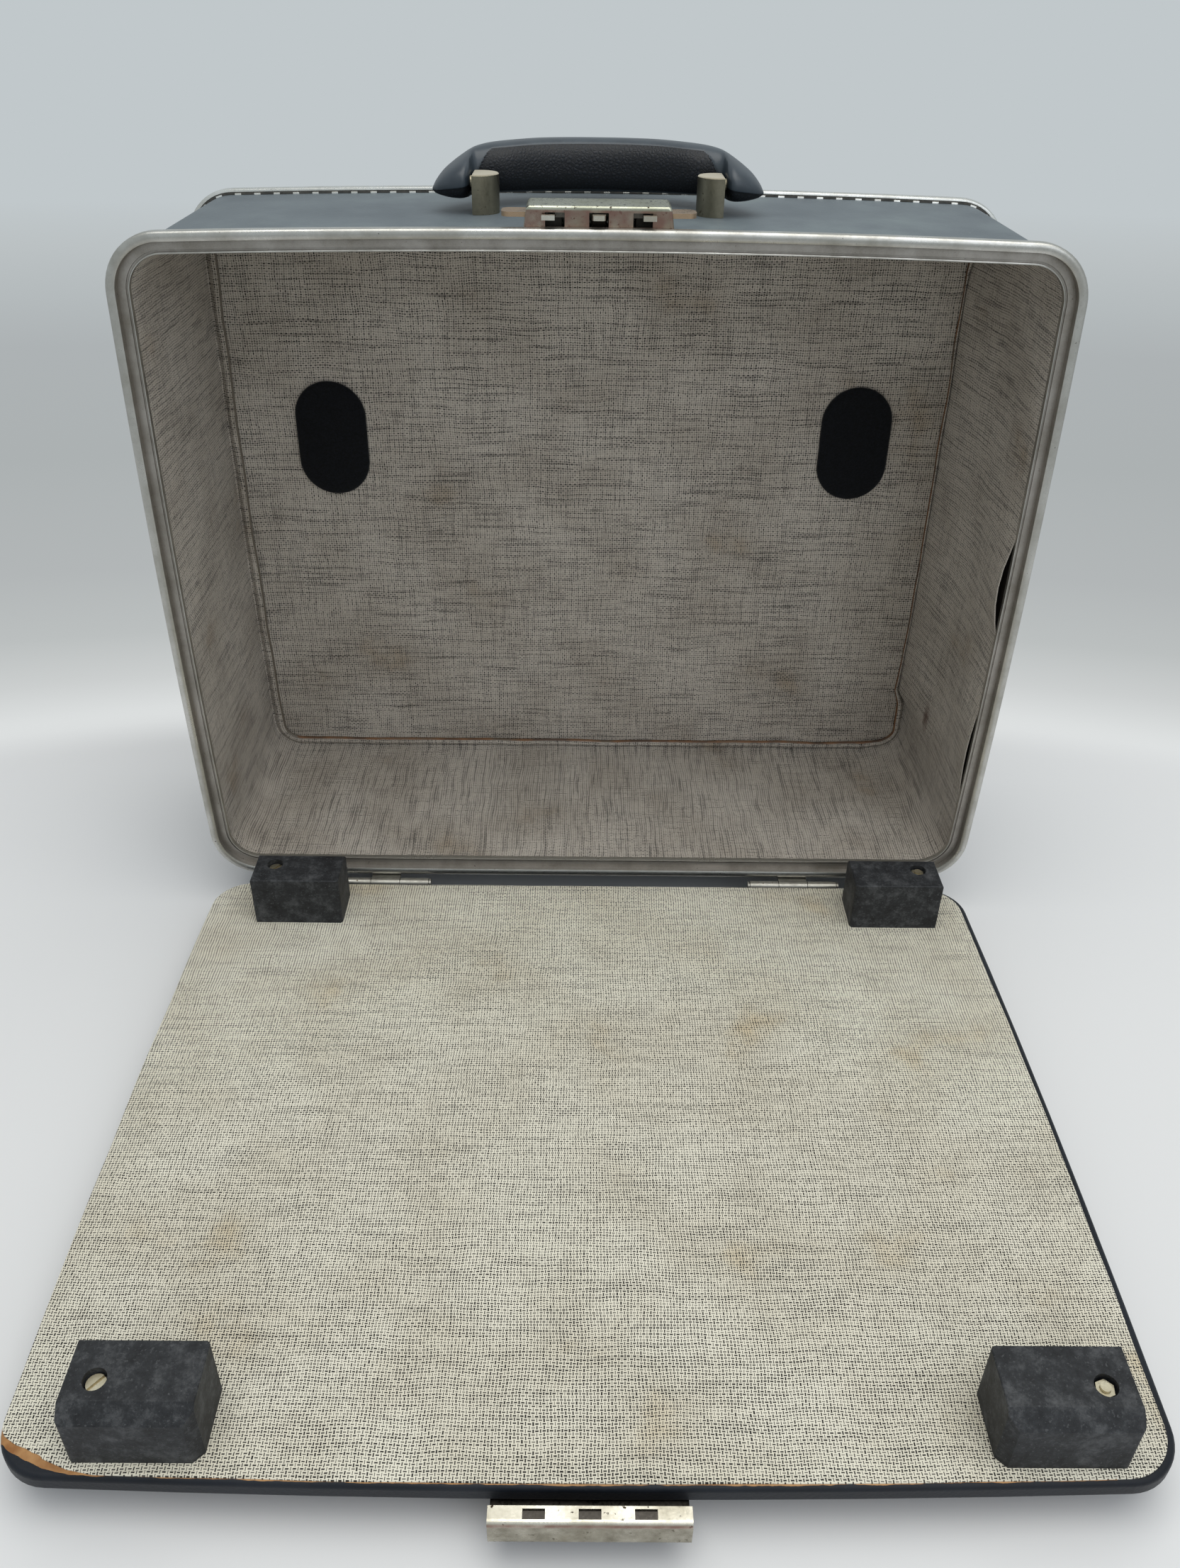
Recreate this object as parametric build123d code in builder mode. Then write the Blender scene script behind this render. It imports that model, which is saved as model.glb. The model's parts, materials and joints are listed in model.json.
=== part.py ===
"""Portable typewriter case, standing open on a table. Lengths are in millimetres.

The base lies flat, its long side along X and its front towards -Y. The lid stands behind
it on the bumpers of its rear wall, hinged along the base's rear edge, its mouth towards -Y.
The origin is on the table, midway between the frontmost and the rearmost point.
"""

import os
from math import sqrt

from build123d import *

# ---------------------------------------------------------------- driving dimensions
# Base board
board_width = 342.0
board_depth = 271.0
board_thickness = 7.0
board_corner_radius = 17.0
side_crown = 2.0            # how far each side bows out at its middle
front_crown = 3.0           # the same for the front, the rear is straight for the hinges
base_vinyl = 0.8
cloth = 0.5
turn_over = 10.0            # vinyl glued down on top of the board, under the cloth
board_edge_round = 1.6
base_lining_margin = 1.5
base_lining_shift = 1.0     # the cloth was glued on off centre
foot_height = 13.5

# Corner blocks
block_width = 37.8
block_depth = 22.8
block_height = 23.0
block_bevel = 4.7
block_corner_chamfer = 3.0
block_corner_round = 1.5
block_edge_round = 0.5
block_from_side = 21.6
block_from_end = 6.4
block_shift = 3.1           # the blocks suit a machine that sits right of the middle
block_recess_diameter = 6.8
block_recess_depth = 4.0
bolt_from_block_side = 8.5
bolt_from_block_end = 10.9

# Fasteners
bolt_diameter = 3.0
hole_clearance = 0.1        # on the radius
bolt_head_diameter = 5.7
bolt_head_height = 2.0
screw_slot_width = 0.8
screw_slot_depth = 0.9
nut_flats = 5.0
nut_height = 2.4
bolt_stick_out = 0.9
rivet_diameter = 3.0
rivet_head_diameter = 5.6
rivet_head_height = 1.1
rivet_grip = 3.0            # how far a rivet reaches into the board or the wall

# Feet and bumpers
foot_diameter = 24.0
foot_from_side = 46.0
foot_from_end = 44.0
foot_round = 2.0
bumper_diameter = 20.0
bumper_tip_diameter = 16.0
bumper_from_side = 34.0
bumper_from_rim = 24.0
bumper_from_back = 20.0
foot_screw_diameter = 3.6
foot_screw_head_diameter = 7.2
foot_screw_head_height = 2.2
foot_screw_recess = 6.0
foot_recess_diameter = 9.0
foot_screw_grip = 3.4

# Lid
seat_clearance = 1.0        # between the board's edge and the rim round it
lid_depth = 111.5
lid_vinyl = 0.6
lid_frame_thickness = 3.0
lid_back_thickness = 6.9
seam_strip = 5.2            # side lining turned in over the back panel

# Lid rim
flange_width = 3.5
flange_length = 4.8
flange_drop = 2.6           # how far the closed rim reaches down the board's edge
seat_gap = 0.3
rim_web = 1.2
rim_lip = 0.5
rim_lip_length = 3.4
rim_round = 1.3

# Rear binding
binding_proud = 3.2
binding_inner = 3.0
binding_length = 4.5
binding_overhang = 1.5
binding_round = 1.4

# Felt pads
pad_width = 32.0
pad_height = 52.0
pad_thickness = 2.0
pad_from_side = 52.0        # from the lid's side to a pad's middle
pad_above_middle = 33.2
pad_round = 0.8

# Hinges
hinge_to_wall = 5.8
hinge_to_rim = 3.0
hinge_from_side = 76.0      # from the board's side to a hinge's middle
hinge_width = 40.0
hinge_leaf = 1.2
hinge_barrel_radius = 2.4
hinge_pin_radius = 1.2
hinge_running_clearance = 0.05
hinge_gap = 0.3
hinge_pin_head = 0.8
base_leaf_reach = 26.0
lid_leaf_reach = 34.0
hinge_rivet_spacing = 24.0
leaf_edge_margin = 7.0

# Lock
lock_width = 50.4
lock_flare = 1.5
lock_height = 10.1
lock_depth = 18.0
lock_wall = 0.9
lock_from_rim = 5.2
lock_round = 1.6
lock_plate_thickness = 1.0
window_width = 6.8
window_height = 4.6
window_bottom = 3.4
window_pitch = 15.3
slider_thickness = 1.6
slider_height = 6.8         # middle of the slider above the wall
slider_travel = 2.6         # inwards
slider_inner = 9.0
slider_outer = 24.2
slider_length = 10.0
slider_from_lock_face = 3.0
slider_gap = 0.1
hook_reach = 3.8            # how far the hooks stand out of the lock's face
hook_neck = 2.4
hook_head_width = 4.6
hook_head_thickness = 2.0
hook_overhang = 1.5         # how far a head reaches past the catch's slot
thumb_hold = 4.4            # what is left of a tab outside the housing when it is pushed in
tab_corner = 3.0
lug_width = 1.4
lug_length = 4.0
lug_drop = 4.0
guide_width = 8.0
guide_from_middle = 13.0
tongue_width = 4.6
tongue_thickness = 1.6
tongue_height = 6.8         # middle of the tongue above the wall
tongue_root = 5.0
spring_radius = 1.5
spring_wire = 0.5
spring_turns = 5
lock_rivet_spacing = 34.0
lock_rivet_head = 4.2

# Catch plate
catch_width = 55.8
catch_thickness = 1.2
catch_top_above_board = 2.3
catch_bend = 1.4
slot_width = 6.2
slot_depth = 2.8
catch_rear_margin = 0.8
catch_front_margin = 1.3
catch_tail = 24.0
catch_rivet_spacing = 40.0
catch_rivet_from_edge = 14.0

# Handle
handle_length = 126.0
handle_reach = 40.0
handle_finger_gap = 20.5
handle_top = 12.2           # above the pivot
grip_bottom = 5.6           # below the pivot
post_from_handle_end = 17.9
post_radius = 7.5
post_flat = 2.5             # from the post's axis out to its flat
post_height = 13.6
post_from_rim = 58.0
post_chamfer = 0.4
pivot_height = 10.6
pivot_pin_radius = 2.0
pivot_clearance = 0.05
pivot_pin_inner = 5.0
pivot_pin_outer = 12.0
handle_side_gap = 0.5
handle_post_gap = 1.6
lobe_front = 7.6
lobe_bottom = 6.2
lobe_radius = 9.4           # round the pivot, so that the handle swings clear of the lid
tip_drop = 3.0
# The bow's outside, crest and underside from the tip to the middle, each point as a share of
# half the length and of the reach or the height.
bow_shares = ((1.0, 0.0), (0.86, 0.5), (0.5, 0.92), (0.0, 1.0))
crest_shares = ((0.86, 0.46), (0.62, 0.91), (0.0, 1.0))
lobe_share, belly_share, grip_share = 0.8, 0.55, 0.35
lobe_nose_x_share, lobe_nose_y_share = 0.92, 0.7
post_screw_diameter = 4.0
post_screw_grip = 6.0
post_screw_head_diameter = 7.5
post_screw_head_height = 2.4
washer_diameter = 16.0
washer_thickness = 1.2

# ---------------------------------------------------------------- derived places
board_bottom = foot_height
board_top = foot_height + board_thickness

lid_width = board_width + 2 * seat_clearance
lid_height = board_depth + 2 * seat_clearance
lid_corner_radius = board_corner_radius + seat_clearance
lid_wall = lid_vinyl + lid_frame_thickness + cloth

slot_middle_reach = seat_clearance + slider_height
catch_rear_reach = slot_middle_reach - slot_depth / 2 - catch_rear_margin
catch_reach = slot_middle_reach + slot_depth / 2 + catch_front_margin

rear_gap = seat_clearance + hinge_to_wall + hinge_to_rim
case_length = catch_reach + board_depth + rear_gap + lid_depth + binding_overhang

base_front = catch_reach - case_length / 2
base_rear = base_front + board_depth
base_middle = (base_front + base_rear) / 2

hinge_y = base_rear + seat_clearance + hinge_to_wall
hinge_z = board_top - flange_drop - hinge_to_rim
rim_y = hinge_y + hinge_to_rim
lid_bottom = hinge_z + hinge_to_wall
lid_top = lid_bottom + lid_height
lid_middle = (lid_bottom + lid_top) / 2

web_front = flange_drop + seat_gap
wall_start = web_front + rim_web
panel_depth = lid_depth - lid_vinyl - lid_back_thickness

front_radius = ((lid_width / 2) ** 2 + front_crown**2) / (2 * front_crown)
side_radius = ((lid_height / 2) ** 2 + side_crown**2) / (2 * side_crown)


def crown_drop(x):
    """How far the crowned front lies below its highest point, at a distance x aside."""
    return front_radius - sqrt(front_radius**2 - x**2)


def case_outline(inset):
    """Outline of the lid's wall, its crowned front at +y, moved inwards by inset."""
    side_centre = lid_width / 2 - side_radius
    with BuildSketch(Plane.XY, mode=Mode.PRIVATE) as outline:
        Rectangle(lid_width + 4 * lid_wall, lid_height - 2 * inset)
        with Locations((0, lid_height / 2 - front_radius)):
            Circle(front_radius - inset, mode=Mode.INTERSECT)
        with Locations((side_centre, 0)):
            Circle(side_radius - inset, mode=Mode.INTERSECT)
        with Locations((-side_centre, 0)):
            Circle(side_radius - inset, mode=Mode.INTERSECT)
        fillet(outline.vertices(), radius=lid_corner_radius - inset)
    return outline.sketch_local


def case_ring(outer_inset, inner_inset):
    """The band between two insets of the case's outline."""
    with BuildSketch(Plane.XY, mode=Mode.PRIVATE) as ring:
        add(case_outline(outer_inset))
        add(case_outline(inner_inset), mode=Mode.SUBTRACT)
    return ring.sketch_local


def base_plane(z):
    """Level plane over the base's middle, its local +y towards the front."""
    return Plane(origin=(0, base_middle, z), x_dir=(-1, 0, 0), z_dir=(0, 0, 1))


def lid_plane(depth):
    """Upright plane at a depth behind the rim, seen from the front, normal to the front."""
    return Plane(origin=(0, rim_y + depth, lid_middle), x_dir=(1, 0, 0), z_dir=(0, -1, 0))


def side_plane(x):
    """Upright plane across the case, its local axes along Y and Z."""
    return Plane(origin=(x, 0, 0), x_dir=(0, 1, 0), z_dir=(1, 0, 0))


def mirrored_spots(x, y, shift=0):
    """Four places, mirrored about the base's middle and then moved aside by shift."""
    away = y - base_middle
    return [(shift + sx * x, base_middle + sy * away) for sx in (-1, 1) for sy in (-1, 1)]


os.makedirs("parts", exist_ok=True)


def save(builder, name):
    """Label a finished piece and write its file."""
    builder.part.label = name
    export_step(builder.part, f"parts/{name}.step")


# ---------------------------------------------------------------- places of fasteners
block_outer_x = board_width / 2 - block_from_side
bolt_x = block_outer_x - bolt_from_block_side
bolt_front_y = base_front + block_from_end + bolt_from_block_end
bolt_spots = mirrored_spots(bolt_x, bolt_front_y, block_shift)
foot_spots = mirrored_spots(board_width / 2 - foot_from_side, base_front + foot_from_end)
catch_rivet_spots = [
    (sx * catch_rivet_spacing / 2, base_front + catch_rivet_from_edge) for sx in (-1, 1)
]
hinge_x = board_width / 2 - hinge_from_side
hinge_xs = (-hinge_x, hinge_x)
hinge_rivet_xs = [x + s * hinge_rivet_spacing / 2 for x in hinge_xs for s in (-1, 1)]
base_leaf_end = base_rear - base_leaf_reach
lid_leaf_end = hinge_y + lid_leaf_reach
base_hinge_rivets = [(x, base_leaf_end + leaf_edge_margin) for x in hinge_rivet_xs]
lid_hinge_rivets = [(x, lid_leaf_end - leaf_edge_margin) for x in hinge_rivet_xs]
bumper_spots = [
    (sx * (lid_width / 2 - bumper_from_side), rim_y + depth)
    for sx in (-1, 1)
    for depth in (bumper_from_rim, lid_depth - bumper_from_back)
]
bolt_hole = bolt_diameter / 2 + hole_clearance
rivet_hole = rivet_diameter / 2

# ---------------------------------------------------------------- base board and its skins
core_bottom = board_bottom + base_vinyl
lining_bottom = board_top - cloth
turned_bottom = lining_bottom - base_vinyl
foot_screw_hole = foot_screw_diameter / 2

with BuildPart() as base_board:
    with BuildSketch(base_plane(core_bottom)):
        add(case_outline(seat_clearance + base_vinyl))
    extrude(amount=turned_bottom - core_bottom)
    with BuildSketch(base_plane(turned_bottom)):
        add(case_outline(seat_clearance + turn_over))
    extrude(amount=base_vinyl)
    with Locations(*[(x, y, board_bottom) for x, y in bolt_spots]):
        Cylinder(bolt_hole, 4 * board_thickness, mode=Mode.SUBTRACT)
    with Locations(*[(x, y, board_bottom) for x, y in foot_spots]):
        Cylinder(foot_screw_hole, 2 * foot_screw_grip, mode=Mode.SUBTRACT)
    with Locations(*[(x, y, board_bottom) for x, y in catch_rivet_spots + base_hinge_rivets]):
        Cylinder(rivet_hole, 2 * rivet_grip, mode=Mode.SUBTRACT)
save(base_board, "base_board")

with BuildPart() as base_cover:
    with BuildSketch(base_plane(board_bottom)):
        add(case_outline(seat_clearance))
    extrude(amount=lining_bottom - board_bottom)
    fillet(base_cover.faces().sort_by(Axis.Z)[0].outer_wire().edges(), radius=board_edge_round)
    fillet(base_cover.faces().sort_by(Axis.Z)[-1].outer_wire().edges(), radius=board_edge_round)
    with BuildSketch(base_plane(core_bottom)):
        add(case_outline(seat_clearance + base_vinyl))
    extrude(amount=turned_bottom - core_bottom, mode=Mode.SUBTRACT)
    with BuildSketch(base_plane(turned_bottom)):
        add(case_outline(seat_clearance + turn_over))
    extrude(amount=base_vinyl, mode=Mode.SUBTRACT)
    with Locations(*[(x, y, board_bottom) for x, y in bolt_spots]):
        Cylinder(bolt_hole, 4 * board_thickness, mode=Mode.SUBTRACT)
    with Locations(*[(x, y, board_bottom) for x, y in foot_spots]):
        Cylinder(foot_screw_hole, 2 * foot_screw_grip, mode=Mode.SUBTRACT)
    with Locations(*[(x, y, board_bottom) for x, y in catch_rivet_spots + base_hinge_rivets]):
        Cylinder(rivet_hole, 2 * rivet_grip, mode=Mode.SUBTRACT)
save(base_cover, "base_cover")

with BuildPart() as base_lining:
    with BuildSketch(base_plane(lining_bottom)):
        with Locations((base_lining_shift, 0)):
            add(case_outline(seat_clearance + base_lining_margin))
    extrude(amount=cloth)
    with Locations(*[(x, y, board_top) for x, y in bolt_spots]):
        Cylinder(bolt_hole, 4 * cloth, mode=Mode.SUBTRACT)
save(base_lining, "base_lining")

# ---------------------------------------------------------------- corner blocks
recess_floor = board_top + block_height - block_recess_depth


def corner_block(x_side, y_side):
    """Rubber block with a bevelled outer end and a recessed bolt, for one corner."""
    middle_x = block_shift + x_side * (block_outer_x - block_width / 2)
    end_away = board_depth / 2 - block_from_end
    middle_y = base_middle + y_side * (end_away - block_depth / 2)
    bolt_y = base_middle + y_side * (end_away - bolt_from_block_end)
    end_y = base_middle + y_side * end_away
    inner_y = end_y - y_side * block_depth
    block_top = board_top + block_height
    with BuildPart() as block:
        with BuildSketch(side_plane(middle_x - block_width / 2)):
            Polygon(
                (inner_y, board_top),
                (end_y, board_top),
                (end_y, block_top - block_bevel),
                (end_y - y_side * block_bevel, block_top),
                (inner_y, block_top),
                align=None,
            )
        extrude(amount=block_width)
        with BuildSketch(Plane.XY.offset(board_top)) as footprint:
            with Locations((middle_x, middle_y)):
                Rectangle(block_width, block_depth)
            corners = footprint.vertices().sort_by(lambda v: y_side * v.Y - x_side * v.X)
            chamfer(corners[-1], length=block_corner_chamfer)
            corners = footprint.vertices().sort_by(lambda v: y_side * v.Y + x_side * v.X)
            fillet([corners[0], corners[-1]], radius=block_corner_round)
        extrude(amount=block_height, mode=Mode.INTERSECT)
        fillet(block.faces().sort_by(Axis.Z)[-1].edges(), radius=block_edge_round)
        with Locations((block_shift + x_side * bolt_x, bolt_y, recess_floor)):
            Cylinder(
                block_recess_diameter / 2,
                2 * block_recess_depth,
                align=(Align.CENTER, Align.CENTER, Align.MIN),
                mode=Mode.SUBTRACT,
            )
            Cylinder(bolt_hole, 2 * block_height, mode=Mode.SUBTRACT)
    return block


save(corner_block(-1, -1), "corner_block_front_left")
save(corner_block(1, -1), "corner_block_front_right")
save(corner_block(-1, 1), "corner_block_rear_left")
save(corner_block(1, 1), "corner_block_rear_right")

# ---------------------------------------------------------------- block bolts and nuts
# The left bolts go in from above, the right ones from below.
bolt_radius = bolt_diameter / 2
left_bolts = [spot for spot in bolt_spots if spot[0] < 0]
right_bolts = [spot for spot in bolt_spots if spot[0] > 0]
low_seat = board_bottom
bolt_length = recess_floor - low_seat + nut_height + bolt_stick_out
from_floor = (Align.CENTER, Align.CENTER, Align.MIN)
from_ceiling = (Align.CENTER, Align.CENTER, Align.MAX)

with BuildPart() as block_bolts:
    with Locations(*[(x, y, recess_floor) for x, y in left_bolts]):
        Cylinder(bolt_head_diameter / 2, bolt_head_height, align=from_floor)
        Cylinder(bolt_radius, bolt_length, align=from_ceiling)
    with Locations(*[(x, y, recess_floor + bolt_head_height) for x, y in left_bolts]):
        Box(
            bolt_head_diameter * 2,
            screw_slot_width,
            screw_slot_depth,
            rotation=(0, 0, 50),
            align=from_ceiling,
            mode=Mode.SUBTRACT,
        )
    with Locations(*[(x, y, low_seat) for x, y in right_bolts]):
        Cylinder(bolt_head_diameter / 2, bolt_head_height, align=from_ceiling)
        Cylinder(bolt_radius, bolt_length, align=from_floor)
    with Locations(*[(x, y, low_seat - bolt_head_height) for x, y in right_bolts]):
        Box(
            bolt_head_diameter * 2,
            screw_slot_width,
            screw_slot_depth,
            align=from_floor,
            mode=Mode.SUBTRACT,
        )
save(block_bolts, "block_bolts")

with BuildPart() as block_nuts:
    with BuildSketch(Plane.XY.offset(recess_floor)):
        with Locations(*right_bolts):
            RegularPolygon(nut_flats / 2, 6, major_radius=False, rotation=20)
            Circle(bolt_radius + hinge_running_clearance, mode=Mode.SUBTRACT)
    extrude(amount=nut_height)
    with BuildSketch(Plane.XY.offset(low_seat - nut_height)):
        with Locations(*left_bolts):
            RegularPolygon(nut_flats / 2, 6, major_radius=False)
            Circle(bolt_radius + hinge_running_clearance, mode=Mode.SUBTRACT)
    extrude(amount=nut_height)
save(block_nuts, "block_nuts")

# ---------------------------------------------------------------- feet and their screws
with BuildPart() as base_feet:
    with Locations(*[(x, y, 0) for x, y in foot_spots]):
        Cylinder(foot_diameter / 2, foot_height, align=from_floor)
    fillet(base_feet.edges().filter_by(GeomType.CIRCLE).group_by(Axis.Z)[0], radius=foot_round)
    with Locations(*[(x, y, 0) for x, y in foot_spots]):
        Cylinder(
            foot_recess_diameter / 2, foot_screw_recess, align=from_floor, mode=Mode.SUBTRACT
        )
        Cylinder(foot_screw_hole, foot_height, align=from_floor, mode=Mode.SUBTRACT)
save(base_feet, "base_feet")


def recessed_screws(spots, height):
    """Pan head screws, their heads up in the feet, driven into what the feet carry."""
    shank = height - foot_screw_recess + foot_screw_grip
    with BuildPart() as screws:
        with Locations(*[(x, y, foot_screw_recess) for x, y in spots]):
            Cylinder(foot_screw_head_diameter / 2, foot_screw_head_height, align=from_ceiling)
            Cylinder(foot_screw_hole, shank, align=from_floor)
    return screws


save(recessed_screws(foot_spots, foot_height), "foot_screws")

# ---------------------------------------------------------------- catch plate
catch_front = base_front - catch_reach
catch_rear = base_front - catch_rear_reach
catch_top = board_top + catch_top_above_board
slot_y = base_front - slot_middle_reach

with BuildPart() as catch_plate:
    with BuildSketch(side_plane(-catch_width / 2)) as profile:
        with BuildLine():
            Polyline(
                (base_front + catch_tail, board_bottom - catch_thickness),
                (catch_front, board_bottom - catch_thickness),
                (catch_front, catch_top),
                (catch_rear, catch_top),
                (catch_rear, catch_top - catch_thickness),
                (catch_front + catch_thickness, catch_top - catch_thickness),
                (catch_front + catch_thickness, board_bottom),
                (base_front + catch_tail, board_bottom),
                close=True,
            )
        make_face()
        fillet(profile.vertices().group_by(Axis.X)[0], radius=catch_bend)
    extrude(amount=catch_width)
    with BuildSketch(Plane.XY.offset(catch_top)):
        with Locations((0, slot_y)):
            with GridLocations(window_pitch, 1, 3, 1):
                Rectangle(slot_width, slot_depth)
    extrude(amount=-2 * catch_thickness, mode=Mode.SUBTRACT)
    with Locations(*[(x, y, board_bottom) for x, y in catch_rivet_spots]):
        Cylinder(rivet_hole, 4 * catch_thickness, mode=Mode.SUBTRACT)
save(catch_plate, "catch_plate")


def rivets_up(spots, seat, plate):
    """Rivets with their heads under a plate at seat, shanks up through it."""
    with BuildPart() as rivets:
        with Locations(*[(x, y, seat - plate) for x, y in spots]):
            Cylinder(rivet_hole, plate + rivet_grip, align=from_floor)
            Cylinder(rivet_head_diameter / 2, rivet_head_height, align=from_ceiling)
        lowest = rivets.edges().filter_by(GeomType.CIRCLE).group_by(Axis.Z)[0]
        fillet(lowest, radius=0.8 * rivet_head_height)
    return rivets


save(rivets_up(catch_rivet_spots, board_bottom, catch_thickness), "catch_rivets")

# ---------------------------------------------------------------- hinges
knuckle = (hinge_width - 2 * hinge_gap) / 3
leaf_drop = board_bottom - hinge_leaf
barrel_hole = hinge_pin_radius + hinge_running_clearance
leaf_offset = hinge_to_wall - flange_width - seat_gap - hinge_leaf
joggle_start = hinge_to_rim + flange_length + hinge_leaf
joggle_end = joggle_start + (hinge_to_wall - hinge_leaf - leaf_offset)
room = hinge_barrel_radius + hinge_gap

with BuildPart() as hinge_base_leaves:
    with BuildSketch(side_plane(-hinge_x - hinge_width / 2)):
        with Locations(((base_leaf_end + hinge_y) / 2, leaf_drop + hinge_leaf / 2)):
            Rectangle(hinge_y - base_leaf_end, hinge_leaf)
        with Locations((hinge_y, hinge_z)):
            Circle(hinge_barrel_radius)
    extrude(amount=hinge_width)
    with Locations((-hinge_x, hinge_y, hinge_z)):
        Box(knuckle + 2 * hinge_gap, 2 * room, 2 * room, mode=Mode.SUBTRACT)
        Cylinder(barrel_hole, 2 * hinge_width, rotation=(0, 90, 0), mode=Mode.SUBTRACT)
    mirror(about=Plane.YZ)
    with Locations(*[(x, y, board_bottom) for x, y in base_hinge_rivets]):
        Cylinder(rivet_hole, 4 * hinge_leaf, mode=Mode.SUBTRACT)
save(hinge_base_leaves, "hinge_base_leaves")

with BuildPart() as hinge_lid_leaves:
    with BuildSketch(side_plane(-hinge_x - knuckle / 2)):
        with BuildLine():
            Polyline(
                (hinge_y, hinge_z + leaf_offset),
                (hinge_y + joggle_start, hinge_z + leaf_offset),
                (hinge_y + joggle_end, lid_bottom - hinge_leaf),
                (hinge_y + joggle_end + hinge_leaf, lid_bottom - hinge_leaf),
                (hinge_y + joggle_end + hinge_leaf, lid_bottom),
                (hinge_y + joggle_end - hinge_leaf / 2, lid_bottom),
                (hinge_y + joggle_start - hinge_leaf / 2, hinge_z + leaf_offset + hinge_leaf),
                (hinge_y, hinge_z + leaf_offset + hinge_leaf),
                close=True,
            )
        make_face()
        with Locations((hinge_y, hinge_z)):
            Circle(hinge_barrel_radius)
    extrude(amount=knuckle)
    with BuildSketch(Plane.XY.offset(lid_bottom - hinge_leaf)):
        with Locations((-hinge_x, (hinge_y + joggle_end + lid_leaf_end) / 2)):
            Rectangle(hinge_width, lid_leaf_end - hinge_y - joggle_end)
    extrude(amount=hinge_leaf)
    with Locations((-hinge_x, hinge_y, hinge_z)):
        Cylinder(barrel_hole, 2 * hinge_width, rotation=(0, 90, 0), mode=Mode.SUBTRACT)
    mirror(about=Plane.YZ)
    with Locations(*[(x, y, lid_bottom) for x, y in lid_hinge_rivets]):
        Cylinder(rivet_hole, 4 * hinge_leaf, mode=Mode.SUBTRACT)
save(hinge_lid_leaves, "hinge_lid_leaves")

with BuildPart() as hinge_pins:
    with Locations(*[(x, hinge_y, hinge_z) for x in hinge_xs]):
        Cylinder(hinge_pin_radius, hinge_width + 2 * hinge_gap, rotation=(0, 90, 0))
    end_x = hinge_width / 2 + hinge_gap + hinge_pin_head / 2
    with Locations(*[(x + s * end_x, hinge_y, hinge_z) for x in hinge_xs for s in (-1, 1)]):
        Cylinder(hinge_barrel_radius - hinge_gap, hinge_pin_head, rotation=(0, 90, 0))
save(hinge_pins, "hinge_pins")

save(rivets_up(base_hinge_rivets, board_bottom, hinge_leaf), "hinge_base_rivets")
save(rivets_up(lid_hinge_rivets, lid_bottom, hinge_leaf), "hinge_lid_rivets")

# ---------------------------------------------------------------- lid rim
with BuildPart() as lid_rim:
    with BuildSketch(lid_plane(0)):
        add(case_ring(-flange_width, 0))
    extrude(amount=-flange_length)
    front_edges = lid_rim.edges().group_by(Axis.Y)[0]
    fillet(front_edges, radius=rim_round)
    rear_face = lid_rim.faces().filter_by(Axis.Y).sort_by(Axis.Y)[-1]
    fillet(rear_face.outer_wire().edges(), radius=rim_round)
    with BuildSketch(lid_plane(web_front)):
        add(case_ring(0, lid_wall + rim_lip))
    extrude(amount=-rim_web)
    with BuildSketch(lid_plane(web_front)):
        add(case_ring(lid_wall, lid_wall + rim_lip))
    extrude(amount=-rim_web - rim_lip_length)
save(lid_rim, "lid_rim")

# ---------------------------------------------------------------- lid shell
frame_inner = lid_vinyl + lid_frame_thickness
post_x = handle_length / 2 - post_from_handle_end
post_xs = (-post_x, post_x)
post_y = rim_y + post_from_rim
lock_rivet_y = rim_y + lock_from_rim + lock_depth - lock_wall - hinge_gap - lock_rivet_head / 2
lock_rivet_spots = [(s * lock_rivet_spacing / 2, lock_rivet_y) for s in (-1, 1)]
post_screw_hole = post_screw_diameter / 2


def drill_lid_walls():
    """Holes for what goes through the lid's rear and front walls."""
    with Locations(*[(x, y, lid_bottom) for x, y in bumper_spots]):
        Cylinder(foot_screw_hole, 2 * foot_screw_grip, mode=Mode.SUBTRACT)
    with Locations(*[(x, y, lid_bottom) for x, y in lid_hinge_rivets]):
        Cylinder(rivet_hole, 2 * rivet_grip, mode=Mode.SUBTRACT)
    with Locations(*[(x, post_y, lid_top) for x in post_xs]):
        Cylinder(post_screw_hole, 4 * lid_wall, mode=Mode.SUBTRACT)
    with Locations(*[(x, y, lid_top) for x, y in lock_rivet_spots]):
        Cylinder(rivet_hole, 2 * rivet_grip, mode=Mode.SUBTRACT)


with BuildPart() as lid_side_cover:
    with BuildSketch(lid_plane(wall_start)):
        add(case_ring(0, lid_vinyl))
    extrude(amount=-(lid_depth - lid_vinyl - wall_start))
    drill_lid_walls()
save(lid_side_cover, "lid_side_cover")

with BuildPart() as lid_side_frame:
    with BuildSketch(lid_plane(wall_start)):
        add(case_ring(lid_vinyl, frame_inner))
    extrude(amount=-(panel_depth - wall_start))
    drill_lid_walls()
save(lid_side_frame, "lid_side_frame")

with BuildPart() as lid_back_board:
    with BuildSketch(lid_plane(panel_depth)):
        add(case_outline(lid_vinyl))
    extrude(amount=-lid_back_thickness)
save(lid_back_board, "lid_back_board")

with BuildPart() as lid_back_cover:
    with BuildSketch(lid_plane(lid_depth - lid_vinyl)):
        add(case_outline(0))
    extrude(amount=-lid_vinyl)
save(lid_back_cover, "lid_back_cover")

with BuildPart() as lid_back_lining:
    with BuildSketch(lid_plane(panel_depth - cloth)):
        add(case_outline(frame_inner))
    extrude(amount=-cloth)
save(lid_back_lining, "lid_back_lining")

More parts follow.
